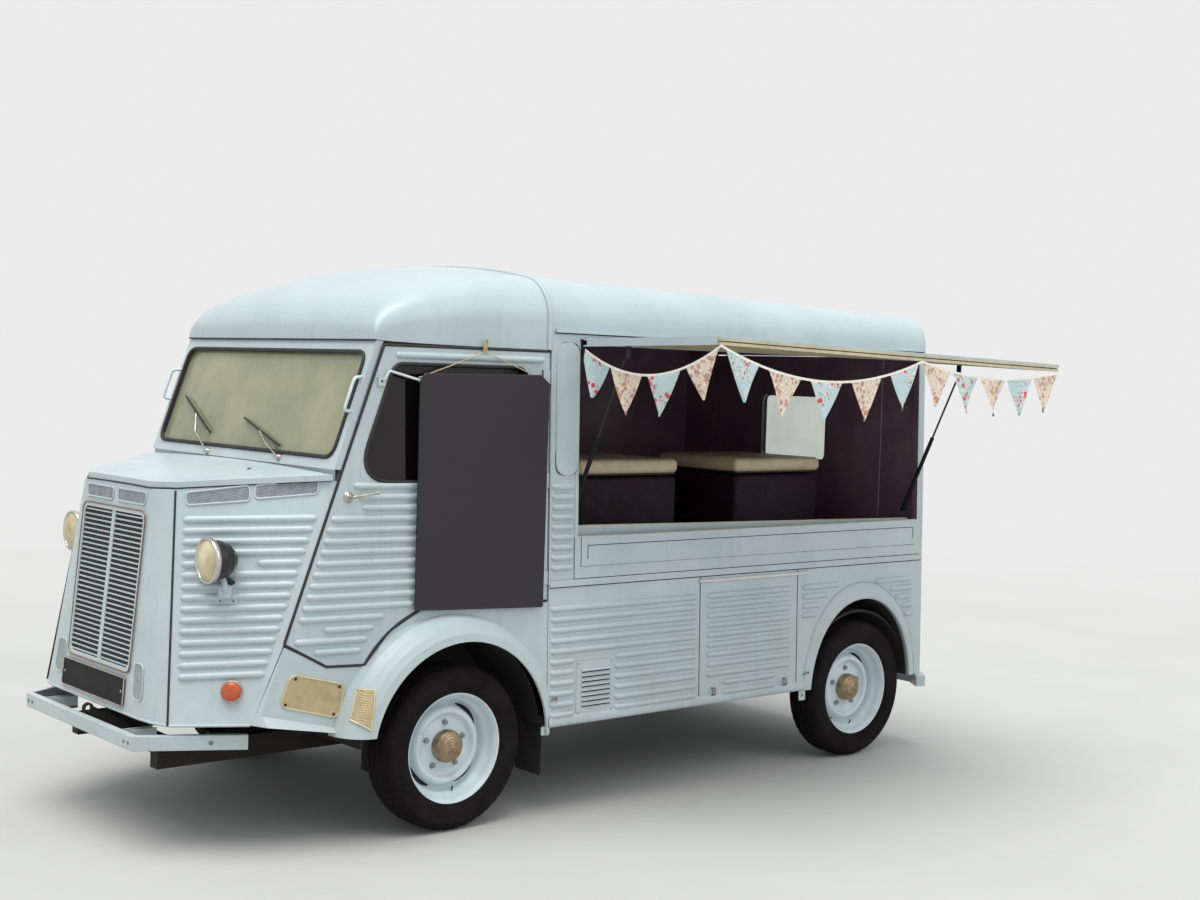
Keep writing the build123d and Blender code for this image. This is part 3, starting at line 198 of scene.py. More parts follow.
class Nodes:
    """The node tree of a material or a world."""

    def __init__(self, owner):
        owner.use_nodes = True
        self.owner, self.tree = owner, owner.node_tree
        self.shader = self.tree.nodes.get("Principled BSDF")
        if self.shader:
            self.coordinates = self.add("ShaderNodeTexCoord").outputs
            self.place = self.coordinates["Object"]

    def add(self, kind, **sockets):
        node = self.tree.nodes.new(kind)
        for key, value in sockets.items():
            node.inputs[key.replace("_", " ")].default_value = value
        return node

    def put(self, value, socket):
        """Links an output to a socket, or sets a plain value on it."""
        if isinstance(value, bpy.types.NodeSocket):
            self.tree.links.new(value, socket)
        else:
            socket.default_value = value

    def noise(self, scale, detail=4.0, rough=0.5, place=None):
        node = self.add("ShaderNodeTexNoise", Scale=scale, Detail=detail, Roughness=rough)
        self.put(place or self.place, node.inputs["Vector"])
        return node.outputs["Fac"]

    def stretched(self, scale, rotation=(0.0, 0.0, 0.0)):
        """The object's coordinates, scaled and turned."""
        node = self.add("ShaderNodeMapping", Scale=scale, Rotation=rotation)
        self.put(self.place, node.inputs[0])
        return node.outputs[0]

    def axes(self):
        node = self.add("ShaderNodeSeparateXYZ")
        self.put(self.place, node.inputs[0])
        return [node.outputs[axis] for axis in "XYZ"]

    def ramp(self, source, stops):
        node = self.add("ShaderNodeValToRGB")
        elements = node.color_ramp.elements
        for element, (position, colour) in zip(elements, stops):
            element.position = position
            element.color = colour
        self.put(source, node.inputs["Fac"])
        return node.outputs["Color"]

    def spread(self, source, low, high, low_to, high_to):
        node = self.add("ShaderNodeMapRange")
        for socket, value in zip(node.inputs, (source, low, high, low_to, high_to)):
            self.put(value, socket)
        return node.outputs["Result"]

    def maths(self, operation, first, second=0.0, kind="ShaderNodeMath"):
        node = self.add(kind)
        node.operation = operation
        self.put(first, node.inputs[0])
        self.put(second, node.inputs[1])
        return node.outputs["Value" if operation in ("DOT_PRODUCT", "LENGTH") else 0]

    def waves(self, source, rate):
        return self.maths("SINE", self.maths("MULTIPLY", source, rate))

    def mix(self, factor, first, second):
        node = self.add("ShaderNodeMix")
        node.data_type = "RGBA"
        for index, value in ((0, factor), (6, first), (7, second)):
            self.put(value, node.inputs[index])
        return node.outputs[2]

    def bump(self, height, strength, distance):
        node = self.add("ShaderNodeBump", Strength=strength, Distance=distance)
        self.put(height, node.inputs["Height"])
        self.put(node.outputs["Normal"], self.shader.inputs["Normal"])

    def finish(self, colour, roughness, metallic=0.0, **sockets):
        values = {"Base Color": colour, "Roughness": roughness, "Metallic": metallic, **sockets}
        for key, value in values.items():
            self.put(value, self.shader.inputs[key.replace("_", " ")])
        return self.owner

    def seen(self):
        """1 for the rays that show the background: seen, mirrored, or through glass."""
        ray = self.add("ShaderNodeLightPath").outputs
        shown = self.maths("MAXIMUM", ray["Is Camera Ray"], ray["Is Glossy Ray"])
        return self.maths("MAXIMUM", shown, ray["Is Transmission Ray"])

    def surface(self, share, first, second, output):
        """Mixes two shaders by share into the output node."""
        node = self.add("ShaderNodeMixShader")
        for socket, value in zip(node.inputs, (share, first.outputs[0], second.outputs[0])):
            self.put(value, socket)
        self.put(node.outputs[0], self.tree.nodes[output].inputs["Surface"])


def new_work(name):
    return Nodes(bpy.data.materials.new(name))


def plain_finish(name, dark, pale, rough, scale=14.0, grain=220.0, bump=0.12, metallic=0.0, **sockets):
    """Two close tones over a coarse noise, with a fine grain in roughness and bump."""
    work = new_work(name)
    colour = work.ramp(work.noise(scale, 6.0, 0.6), [(0.3, shade(*dark)), (0.7, shade(*pale))])
    fine = work.noise(grain, 3.0, 0.6)
    work.bump(fine, bump, 0.002)
    return work.finish(colour, work.spread(fine, 0.3, 0.7, *rough), metallic, **sockets)


def body_paint(name, centre=None):
    """Pale blue paint over old sheet: cloudy tone, dust low down, a few chips, soft ripple. Faces turned to
    the centre of a hollow take a dark purple-brown inside colour, darkened as painted shade inside the hollow."""
    work = new_work(name)
    colour = work.ramp(work.noise(2.2, 6.0, 0.6), [(0.3, shade(164, 178, 181)), (0.72, shade(179, 192, 194))])
    low_down = work.spread(work.axes()[2], 0.35, 0.95, 0.55, 0.0)
    dusty = work.maths("MULTIPLY", low_down, work.spread(work.noise(5.0, 8.0, 0.7), 0.4, 0.75, 0.1, 0.9))
    colour = work.mix(dusty, colour, shade(150, 146, 132))
    streaks = work.noise(4.0, 6.0, 0.65, work.stretched((9.0, 9.0, 0.8)))
    colour = work.mix(work.spread(streaks, 0.56, 0.8, 0.0, 0.28), colour, shade(134, 142, 140))
    chips = work.spread(work.noise(38.0, 7.0, 0.62), 0.735, 0.75, 0.0, 0.8)
    colour = work.mix(chips, colour, shade(112, 92, 74))
    # Painted shade: faces turned to the centre take a dark purple-brown that stands for the shade inside the
    # hollow.
    if centre:
        from_centre = work.maths("SUBTRACT", work.place, at(*centre), "ShaderNodeVectorMath")
        facing = work.maths("DOT_PRODUCT", from_centre, work.coordinates["Normal"], "ShaderNodeVectorMath")
        shaded_lining = work.ramp(work.noise(5.0, 6.0, 0.6), [(0.3, shade(98, 76, 92)), (0.7, shade(122, 98, 108))])
        colour = work.mix(work.maths("LESS_THAN", facing), colour, shaded_lining)
    roughness = work.spread(work.noise(9.0, 6.0, 0.6), 0.3, 0.7, 0.34, 0.5)
    fine = work.maths("MULTIPLY", work.noise(260.0, 2.0, 0.5), 0.02)
    work.bump(work.maths("ADD", work.noise(3.5, 3.0, 0.5), fine), 0.25, 0.012)
    return work.finish(colour, roughness, 0.0, Coat_Weight=0.18, Coat_Roughness=0.25)


def mesh_plate(name, pale, dark):
    """Expanded metal: rows of diamond holes, dark with painted shade, between bright strands."""
    work = new_work(name)
    x, y, z = work.axes()
    crossed = work.maths("MULTIPLY", work.waves(work.maths("ADD", x, y), 900.0), work.waves(z, 1150.0))
    holes = work.spread(crossed, 0.1, 0.5, 0.0, 0.7)
    stained = work.ramp(work.noise(30.0, 6.0, 0.6), [(0.3, shade(*pale)), (0.75, shade(*dark))])
    work.bump(holes, -0.6, 0.002)
    # Painted shade: the holes are dark, as the shade seen through them
    colour = work.mix(holes, stained, shade(46, 42, 36))
    return work.finish(colour, work.spread(holes, 0.0, 1.0, 0.5, 0.9), 0.3)


def glass_finish(name, low_tint, high_tint, clear):
    """Glass with a faint film of dirt in its tint and gloss; the tint is painted light in the windscreen and
    door panes.
    """
    work = new_work(name)
    tint = work.ramp(work.noise(3.0, 5.0, 0.6), [(0.3, shade(*low_tint)), (0.7, shade(*high_tint))])
    roughness = work.spread(work.noise(14.0, 5.0, 0.6), 0.4, 0.8, 0.01, 0.06)
    return work.finish(tint, roughness, 0.0, Transmission_Weight=clear, IOR=1.45)


def chalk_board(name):
    """Black board with faint wiped chalk."""
    work = new_work(name)
    smears = work.noise(3.0, 8.0, 0.7, work.stretched((1.2, 1.2, 4.5), (0.2, 0.5, 0.0)))
    colour = work.ramp(smears, [(0.35, shade(33, 24, 32)), (0.85, shade(50, 40, 48))])
    work.bump(work.noise(420.0, 3.0, 0.6), 0.08, 0.001)
    return work.finish(colour, work.spread(smears, 0.3, 0.8, 0.6, 0.85))


def wood_finish(name, dark, pale):
    """Wood with its grain along the van."""
    work = new_work(name)
    grain = work.noise(5.0, 9.0, 0.6, work.stretched((0.8, 14.0, 14.0)))
    colour = work.ramp(grain, [(0.35, shade(*dark)), (0.65, shade(*pale))])
    work.bump(grain, 0.15, 0.002)
    return work.finish(colour, work.spread(grain, 0.3, 0.7, 0.45, 0.65))


def flag_cloth(name, ground, rose, pale, leaf, share):
    """Printed cotton: clusters of roses with leaves and pale sprigs on a plain ground, over a weave."""
    work = new_work(name)
    x, y, z = work.axes()
    thread_rate = 2400.0
    upright = work.waves(work.maths("ADD", x, y), thread_rate)
    weave = work.maths("MULTIPLY", work.waves(z, thread_rate), upright)
    clusters = work.noise(15.0, 2.0, 0.5)
    cluster = work.spread(clusters, share, share + 0.05, 0.0, 1.0)
    halo = work.spread(clusters, share - 0.1, share, 0.0, 1.0)
    ground = shade(*ground)
    brighter = tuple(min(1.0, c * 1.1) for c in ground)
    colour = work.ramp(work.noise(60.0, 4.0, 0.5), [(0.3, ground), (0.7, brighter)])
    ragged_edge = work.maths("MULTIPLY", work.noise(150.0, 2.0, 0.5), 0.3)
    layers = ((52.0, 0.4, pale, halo), (64.0, 0.36, leaf, halo), (40.0, 0.52, rose, cluster))
    for scale, size, tint, where in layers:
        cells = work.add("ShaderNodeTexVoronoi", Scale=scale)
        work.put(work.place, cells.inputs["Vector"])
        ragged = work.maths("ADD", cells.outputs["Distance"], ragged_edge)
        shape = work.spread(ragged, size, size + 0.1, 1.0, 0.0)
        colour = work.mix(work.maths("MULTIPLY", shape, where), colour, shade(*tint))
    work.bump(weave, 0.12, 0.0004)
    return work.finish(colour, work.spread(work.noise(90.0), 0.3, 0.7, 0.8, 0.95), 0.0, Sheen_Weight=0.25)


def dull_black(name, dark, pale, rough, scale, grain, bump, specular):
    """A black with a weak shine."""
    return plain_finish(name, dark, pale, rough, scale, grain, bump, Specular_IOR_Level=specular)


paint = body_paint("body_paint")
shell_paint = body_paint("shell_paint", (-1500, 0, 1250))
cab_paint = body_paint("cab_paint", (100, 0, 1350))
screen_paint = body_paint("screen_paint", (100, 0, 1510))
hatch_paint = body_paint("hatch_paint", (-1500, 0, 1180))
roof_paint = body_paint("roof_paint", (-1500, 0, 1700))
rubber = plain_finish("rubber_black", (24, 24, 25), (44, 43, 42), (0.55, 0.75))
# Dark seams, and painted shadow lines under the belt rail and round the raised panel below the hatch
seam_and_shadow_dark = plain_finish("seam_and_shadow_line", (26, 28, 30), (48, 50, 50), (0.7, 0.9))
tyre_rubber = dull_black("tyre_rubber", (14, 11, 14), (30, 26, 27), (0.85, 0.97), 9.0, 160.0, 0.3, 0.15)
strut_black = dull_black("strut_black", (15, 13, 15), (26, 23, 25), (0.5, 0.7), 30.0, 120.0, 0.05, 0.2)
freezer_black = dull_black("freezer_black", (26, 14, 22), (40, 24, 34), (0.5, 0.7), 14.0, 220.0, 0.12, 0.2)
plate_black = dull_black("plate_black", (18, 15, 17), (30, 26, 28), (0.5, 0.65), 14.0, 220.0, 0.12, 0.2)
dark_rod = plain_finish("dark_rod", (20, 19, 20), (40, 38, 39), (0.3, 0.45), 40.0, 90.0, 0.05, 0.3)
chrome = plain_finish("chrome", (186, 184, 178), (214, 212, 206), (0.12, 0.3), 20.0, 60.0, 0.03, 1.0)
chrome_worn = plain_finish("worn_chrome", (150, 144, 134), (204, 200, 192), (0.2, 0.45), 40.0, 60.0, 0.05,
                           0.9)
brass = plain_finish("old_brass", (128, 108, 82), (176, 158, 130), (0.3, 0.5), 30.0, 90.0, 0.08, 0.85)
brass_pale = plain_finish("pale_brass", (196, 182, 140), (222, 210, 172), (0.35, 0.55), 30.0, 90.0, 0.08, 0.6)
brass_dull = plain_finish("dull_brass", (112, 84, 66), (150, 124, 104), (0.35, 0.55), 40.0, 90.0, 0.08, 0.5)
steel = plain_finish("raw_steel", (104, 100, 94), (142, 138, 130), (0.38, 0.6), 22.0, 120.0, 0.15, 0.9)
nut_steel = plain_finish("nut_steel", (120, 128, 130), (168, 176, 178), (0.35, 0.55), 60.0, 120.0, 0.1, 0.5)
cast_iron = plain_finish("cast_iron", (62, 60, 58), (96, 92, 86), (0.6, 0.8), 12.0, 90.0, 0.4, 0.6)
# Near-black underbody: its own dark colour, darkened further as painted shade under the van
underbody_and_shade = plain_finish("underbody", (20, 17, 17), (40, 35, 33), (0.75, 0.92), 6.0, 120.0, 0.35)
# Dark floors: their own colour, darkened as painted shade inside the van and in the wheel housings
floor_and_shade = plain_finish("inside_floor", (24, 20, 22), (42, 37, 37), (0.7, 0.88), 5.0, 90.0, 0.25)
wheel_paint = plain_finish("wheel_paint", (184, 198, 204), (206, 218, 222), (0.34, 0.5), 10.0, 240.0, 0.1)
black_paint = plain_finish("black_enamel", (15, 14, 16), (27, 26, 28), (0.22, 0.38))
black_plastic = plain_finish("black_plastic", (26, 26, 27), (42, 42, 42), (0.45, 0.6))
slat_shadow = plain_finish("slat_shadow", (16, 18, 22), (30, 32, 36), (0.8, 0.95))
# Painted shadow: brown-grey lines along the post pressing's edge and in the flap's groove
painted_shadow = plain_finish("shadow_stain", (84, 74, 70), (120, 112, 108), (0.7, 0.9))
strip_pale = plain_finish("ledge_strip", (184, 184, 182), (206, 204, 200), (0.5, 0.7))
slot_grey = plain_finish("slot_grey", (128, 138, 138), (150, 158, 156), (0.5, 0.7), 60.0, 300.0, 0.5)
red_lens = plain_finish("red_lens", (128, 16, 18), (166, 28, 30), (0.15, 0.3), 40.0, 150.0, 0.1)
orange_lens = plain_finish("orange_lens", (156, 62, 32), (186, 90, 50), (0.15, 0.3), 40.0, 150.0, 0.1)
# Painted reflection: the opaque headlamp lens's cream-tan tone stands for the reflector seen through the glass
# and its reflection
lens_and_reflection = plain_finish("lens_and_reflection", (168, 152, 112), (226, 216, 184), (0.08, 0.2), 9.0, 90.0, 0.3, 0.3)
lid_white = plain_finish("lid_white", (186, 170, 138), (212, 198, 166), (0.4, 0.55))
seat_skin = plain_finish("seat_skin", (40, 38, 38), (62, 58, 56), (0.45, 0.6), 18.0, 320.0, 0.3)
cream_rail = plain_finish("cream_rail", (168, 158, 128), (200, 190, 160), (0.45, 0.6), 12.0)
rope = plain_finish("twine", (176, 158, 120), (206, 190, 154), (0.8, 0.95), 90.0, 600.0, 0.4)
tape_white = plain_finish("bunting_tape", (216, 212, 200), (236, 232, 222), (0.8, 0.95), 60.0, 900.0, 0.3)
tan_board = wood_finish("flap_lining", (104, 92, 58), (138, 124, 84))
tan_pale = wood_finish("flap_batten", (150, 136, 100), (184, 172, 136))
# Dark purple-brown wood of the counter: its own wood colour, darkened as painted shade inside the hatch
shelf_wood = wood_finish("shelf_wood", (50, 38, 42), (70, 54, 56))
peg_wood = wood_finish("peg_wood", (168, 132, 84), (206, 172, 122))
gold_mesh = mesh_plate("gold_mesh", (204, 188, 150), (176, 156, 118))
grey_mesh = mesh_plate("grey_mesh", (158, 168, 172), (120, 128, 130))
board_black = chalk_board("chalk_board")
glass = glass_finish("window_glass", (206, 216, 206), (226, 234, 226), 0.94)
# Painted reflection: the windscreen's milky greenish tint, half opaque
screen_glass_reflection = glass_finish("screen_glass_reflection", (150, 154, 124), (182, 184, 150), 0.42)
# Painted shade: the door panes' dark purple tint stands for the shaded cab behind them
shaded_door_glass = glass_finish("door_pane", (40, 30, 36), (56, 44, 48), 0.85)
flag_cream = flag_cloth("flag_cream", (206, 190, 172), (176, 132, 114), (226, 214, 200), (160, 146, 118), 0.44)
flag_blue = flag_cloth("flag_blue", (172, 192, 194), (196, 66, 72), (222, 206, 200), (122, 150, 112), 0.52)

cad_finishes = (
    (paint, "nose_panel grille cheek_left cheek_right wing_left wing_right serving_flap"),
    (paint, "bonnet bumpers mirror_arms"),
    (shell_paint, "body_roof side_lower_left side_lower_right side_upper_right rear_frame tailgate"),
    (shell_paint, "rear_door_left rear_door_right"), (hatch_paint, "side_upper_left"),
    (cab_paint, "cab_roof cab_door_left cab_door_right"), (screen_paint, "windscreen_frame"),
    (screen_glass_reflection, "windscreen"), (glass, "tailgate_glass"), (shaded_door_glass, "door_glass_left door_glass_right"),
    (underbody_and_shade, "chassis exhaust suspension_arms knuckle_left knuckle_right"), (cast_iron, "engine_block"),
    (floor_and_shade, "load_floor cab_floor"), (strut_black, "strut_cylinders"), (dark_rod, "strut_rods"),
    (shelf_wood, "counter"), (freezer_black, "freezers"), (lid_white, "freezer_lid_front freezer_lid_rear"),
    (black_paint, "headlamps"), (orange_lens, "side_lamps"), (black_plastic, "steering_wheel"),
    (board_black, "menu_board"),
)
for finish, names in cad_finishes:
    for name in names.split():
        nodes[name].data.materials.clear()
        nodes[name].data.materials.append(finish)

# The record's material slot of each finish, where a piece names no other
slot_of = {finish.name: slot for slot, finishes in (
    ("body_paint", (paint, shell_paint, roof_paint, wheel_paint, seam_and_shadow_dark, slat_shadow, painted_shadow, strip_pale,
                    slot_grey)),
    ("raw_steel", (chrome, chrome_worn, brass, brass_pale, brass_dull, steel, nut_steel, gold_mesh, grey_mesh,
                   black_paint)),
    ("black_plastic", (rubber,)), ("lamp_black", (lens_and_reflection,)), ("lamp_orange", (orange_lens, red_lens)),
    ("board_black", (plate_black, board_black)), ("bunting_cloth", (rope, tape_white, flag_cream, flag_blue)),
    ("shelf_wood", (peg_wood, cream_rail, tan_board, tan_pale, shelf_wood)), ("tyre", (tyre_rubber,)),
    ("freezer_dark", (freezer_black,)), ("lid_pale", (lid_white,)), ("underbody", (underbody_and_shade,)),
    ("seat_vinyl", (seat_skin,))) for finish in finishes}


# Shapes are pairs of van places and faces
def grid(rows, columns, closed=False, looped=False):
    """Faces between rows of points; closed joins the last column to the first, looped the last row."""
    faces = []
    for i in range(rows if looped else rows - 1):
        a, b = i * columns, (i + 1) % rows * columns
        for k in range(columns if closed else columns - 1):
            m = (k + 1) % columns
            faces.append((a + k, a + m, b + m, b + k))
    return faces


def joined(shapes):
    """One shape from several."""
    points, faces = [], []
    for more_points, more_faces in shapes:
        shift = len(points)
        points += more_points
        faces += [tuple(i + shift for i in face) for face in more_faces]
    return points, faces


def sided(hand, shape):
    """The shape as it is on the left, or turned over to the right side."""
    points, faces = shape
    return shape if hand == "left" else ([flipped(p) for p in points], [face[::-1] for face in faces])


def oblong(a0, a1, b0, b1):
    """The four corners of a rectangle, in turn."""
    return (a0, b0), (a1, b0), (a1, b1), (a0, b1)


def bent(points, radius, steps, closed=True):
    """The points of a polyline with its corners rounded to a radius, or each to its own."""
    radii = radius if isinstance(radius, tuple) else (radius,) * len(points)
    made = []
    for i, (corner, own) in enumerate(zip(points, radii)):
        if not closed and i in (0, len(points) - 1):
            made.append(corner)
            continue
        before = points[i - 1] - corner
        after = points[(i + 1) % len(points)] - corner
        reach = min(own / math.tan(before.angle(after) / 2), 0.49 * before.length, 0.49 * after.length)
        start = corner + before.normalized() * reach
        end = corner + after.normalized() * reach
        for step in range(steps + 1):
            t = step / steps
            made.append(start * (1 - t) ** 2 + corner * 2 * t * (1 - t) + end * t * t)
    return made


def spun(profile, centre, axis, steps=64):
    """A profile of (radius, along) turned about an axis."""
    axis = axis.normalized()
    first = axis.orthogonal().normalized()
    second = axis.cross(first)
    points, faces = [], []
    width = len(profile)
    for i in range(steps):
        angle = 2 * math.pi * i / steps
        way = first * math.cos(angle) + second * math.sin(angle)
        points += [centre + way * radius + axis * along for radius, along in profile]
        a, b = i * width, (i + 1) % steps * width
        faces += [(a + k, b + k, b + k + 1, a + k + 1) for k in range(width - 1)]
    return points, faces


def slab(corners, normal, thick, radius=0.0):
    """A plate with rounded corners, thick along normal."""
    outline = bent(corners, radius, 5) if radius else list(corners)
    count = len(outline)
    caps = [tuple(range(count - 1, -1, -1)), tuple(range(count, 2 * count))]
    return outline + [p + normal * thick for p in outline], caps + grid(2, count, closed=True)


def ball_head(place, normal, radius, height):
    """A domed screw or nut head on a surface."""
    profile = [(0.0001, height)] + [(radius * math.sin(a), height * math.cos(a)) for a in (0.5, 0.95, 1.3)]
    return spun(profile + [(radius, 0.0), (radius, -height * 0.5)], place, normal, 12)


# Pieces
def placed(name, data, finish, body, slot, replaced):
    """The object of a mesh or curve, riding on a body. Its slot, or its finish's own, is looked up and not
    used.
    """
    data.materials.append(finish)
    made = bpy.data.objects.new(name, data)
    bpy.context.scene.collection.objects.link(made)
    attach(made, body)
    slot or slot_of[finish.name]
    if replaced:
        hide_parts(replaced)
    return made


def piece(name, shape, finish, body="root", slot=None, smooth=True, replaced=None):
    points, faces = shape
    data = bpy.data.meshes.new(name)
    data.from_pydata([row(p)[:] for p in points], [], faces)
    data.validate()
    data.polygons.foreach_set("use_smooth", [smooth] * len(data.polygons))
    return placed(name, data, finish, body, slot, replaced)


def plate(name, corners, normal, thick, finish, body="root", radius=0.0, replaced=None):
    return piece(name, slab(corners, normal, thick, radius), finish, body, smooth=False, replaced=replaced)


def turned(name, profile, centre, axis, finish, body="root", steps=64):
    return piece(name, spun(profile, centre, axis, steps), finish, body)


def tube(name, runs, thick, finish, body="root", slot=None, bend=None, closed=False, sides=3, replaced=None):
    """Round bars along runs of places; bend is the radius and steps of their corners."""
    data = bpy.data.curves.new(name, "CURVE")
    data.dimensions = "3D"
    data.bevel_depth = thick / 1000
    data.bevel_resolution = sides
    data.use_fill_caps = True
    for run in runs:
        points = bent(run, *bend, closed) if bend else run
        line = data.splines.new("POLY")
        line.points.add(len(points) - 1)
        for spot, point in zip(line.points, points):
            spot.co = (*row(point), 1.0)
        line.use_cyclic_u = closed
    return placed(name, data, finish, body, slot, replaced)


def screws(name, places, normal, finish, body="root", radius=6.0):
    return piece(name, joined([ball_head(p, normal, radius, radius * 0.55) for p in places]), finish, body)


def of_bmesh(name, mesh, finish, body="root", slot=None, replaced=None):
    """A smooth piece from a bmesh, which is freed."""
    data = bpy.data.meshes.new(name)
    mesh.to_mesh(data)
    mesh.free()
    data.polygons.foreach_set("use_smooth", [True] * len(data.polygons))
    return placed(name, data, finish, body, slot, replaced)


def rounded_block(name, boxes, radius, finish, body="root", slot=None, replaced=None, segments=3):
    """Boxes of (low corner, high corner) with bevelled edges, as one piece."""
    mesh = bmesh.new()
    for low, high in boxes:
        for corner in bmesh.ops.create_cube(mesh, size=1.0)["verts"]:
            corner.co = at(*(a + (b - a) * (c + 0.5) for a, b, c in zip(low, high, corner.co)))
    bmesh.ops.bevel(mesh, geom=mesh.edges[:] + mesh.verts[:], offset=radius / 1000, segments=segments,
                    profile=0.5, affect="EDGES")
    return of_bmesh(name, mesh, finish, body, slot, replaced)


# Pressed ribs, from the tables of part.py
rib_half, rib_rise = 15.5, 12.5
seam_x = front_seam, rear_seam = -1345.0, -2008.0


def bead(start, end, normal):
    """A soft pressed rib over the straight one of the solid, with round ends."""
    run = (end - start).normalized()
    across = normal.cross(run).normalized()
    inner = rib_half * 1.1
    stations = [k / 5 for k in range(-5, 6)]
    width = len(stations)

    def lifted(share):
        return normal * (rib_rise * max(0.0, 1 - share ** 2.3) ** 0.8 - 0.4)

    ends = ((0, start + run * inner, -run), (width, end - run * inner, run))
    points = [base + across * (rib_half * u) + lifted(abs(u)) for _, base, _ in ends for u in stations]
    faces = grid(2, width)
    for first, base, way in ends:
        chain = [[first + k for k in range(5)]]
        for turn in range(1, 6):
            angle = math.pi * turn / 6
            reach = -across * math.cos(angle) * rib_half + way * math.sin(angle) * rib_half * 1.5
            chain.append([len(points) + k for k in range(5)])
            points += [base + reach * u + lifted(u) for u in (1.0, 0.8, 0.6, 0.4, 0.2)]
        chain.append([first + width - 1 - k for k in range(5)])
        for a, b in zip(chain, chain[1:]):
            fan = [(a[k], b[k], b[k + 1], a[k + 1]) for k in range(4)] + [(a[4], b[4], first + 5)]
            faces += [face[::-1] for face in fan] if first else fan
    return points, faces


def beads(name, runs, body="root"):
    """One piece with a bead for each run of (start, end, normal)."""
    return piece(name, joined([bead(*run) for run in runs]), paint, body)


def rib_rows(spans, top, pitch, surface, normal):
    """Runs on a surface from spans of (line, rear x, front x), their lines counted down from the top."""
    return [(surface(rear, top - pitch * line), surface(front, top - pitch * line), normal)
            for line, rear, front in spans]


def turned_over(runs):
    return [(flipped(end), flipped(start), flipped(normal)) for start, end, normal in runs]


side_spans = []
for line in range(11):
    beside_vent = 405.0 < 890.0 - 45.5 * line < 669.0
    breaks = (-828.0, -587.0) if beside_vent else ()
    stops = (front_seam + 22, *breaks, body_front_x - 16)
    inset = 48 if line < 9 else 155
    side_spans += [(line, *span) for span in zip(stops[::2], stops[1::2])]
    side_spans.append((line, rear_seam + inset, front_seam - inset))
side_spans += [(line, x, -2045.0) for line, x in enumerate((-2320, -2229, -2173, -2147))]
side_spans += [(line, -2892.0, x) for line, x in enumerate((-2600, -2711, -2762, -2808, -2835))]
door_fronts = (462, 440, 423, 559, 576, 589, 601, 618, 633, 647, 660)
door_spans = [(line, -405.0, x) for line, x in enumerate(door_fronts)]
door_spans += [(11, 200, 674), (12, 332, 689), (13, 377, 585), (14, 403, 706), (15, 429, 627)]
door_lines = rib_rows(door_spans, 1427.0, 43.2, on_door, door_normal)
door_lines.append((on_door(-405.0, 1950.0), on_door(284.0, 1950.0), door_normal))
cheek_rib_drop = 21.0
corner_slope = (corner_low[0] - corner_top[0]) / (nose_top_z - nose_low_z)
cheek_lines = []
for line in range(15):
    z = 1302.0 - 42.4 * line
    rear = door_front_x(z) + gap + 28
    front = corner_top[0] + corner_slope * (nose_top_z - z) - 24
    for run in [(rear, rear + 130), (front - 48, front)] if line == 4 else [(rear, front)]:
        places = [on_cheek(x, z - cheek_rib_drop * (x - rear) / (front - rear)) for x in run]
        cheek_lines.append((*places, cheek_normal))
wall_stops = ((front_seam + 48, body_front_x - 40), (rear_seam + 48, front_seam - 48),
              (body_rear_x + 80, rear_seam - 48))
wall_spans = [(line, *stops) for line in range(21) for stops in wall_stops]
door_bodies = {hand: next(body for body, names in frame["record"]["behaviour"]["bodies"].items()
                          if "cab_door_" + hand in names) for hand, _ in hands}
for name, runs in (("side_ribs_", rib_rows(side_spans, 890.0, 45.5, on_side, side_normal)),
                   ("cheek_ribs_", cheek_lines), ("door_ribs_", door_lines)):
    for hand, _ in hands:
        body = door_bodies[hand] if name == "door_ribs_" else "root"
        beads(name + hand, runs if hand == "left" else turned_over(runs), body)
post_spans = [(line, -573.0, -458.0) for line in range(9)]
beads("post_ribs", rib_rows(post_spans, 1413.0, 43.2, on_side, side_normal))
beads("wall_ribs", turned_over(rib_rows(wall_spans, 1960.0, 45.5, on_side, side_normal)))


# Rubber seals, seams and trim lines, with lines of painted shadow under the belt rail and round a raised panel
def arc(start, middle, end, steps=8):
    """Points of the arc through three points of a plane, as (x, z)."""
    a, b, c = (Vector((*place, 0)) for place in (start, middle, end))
    first, second = b - a, c - a
    normal = first.cross(second)
    centre = a + (normal.cross(first) * second.length_squared
                  + second.cross(normal) * first.length_squared) / (2 * normal.length_squared)
    whole_turn = (a - centre).angle(b - centre) + (b - centre).angle(c - centre)
    axis = (a - centre).cross(b - centre).normalized()
    turns = [Matrix.Rotation(whole_turn * i / steps, 3, axis) for i in range(steps + 1)]
    return [(centre + turn @ (a - centre))[:2] for turn in turns]


screen_edge = [on_screen(y, z, 1.0) for y, z in ((747, 1958), (747, 1537), (-747, 1537), (-747, 1958))]
tube("screen_seal", [screen_edge], 9.0, rubber, bend=(60.0, 8), closed=True, sides=4)
window_top_z, window_low_z, window_rear_x = 1915.0, 1441.0, -325.0
window_front_x = [door_front_x(z) - 70.0 for z in (window_top_z, window_low_z)]
window_edge = [on_door(x, z, 1.0) for x, z in (
    (window_rear_x, window_top_z), (window_front_x[0], window_top_z), (window_front_x[1], window_low_z),
    (window_rear_x, window_low_z))]
door_edge = [(-433, 1988), (door_front_x(1988) + 3, 1988), (door_front_x(820) + 3, 818), (574, 721)]
door_edge += arc((413, 717), (301, 846), (148, 930.5)) + [(-433, 930.5)]
door_seal = [on_door(x, z, -1.5) for x, z in door_edge]
window_line = bent(window_edge, (60.0, 60.0, 120.0, 60.0), 8)
cut_line = bent(window_edge, 58.0, 8)
nose_seam = [Vector((corner_low[0] + 3, corner_low[1] + 2, nose_low_z)),
             Vector((corner_top[0] + 4, corner_top[1] + 2, 1392.0))]
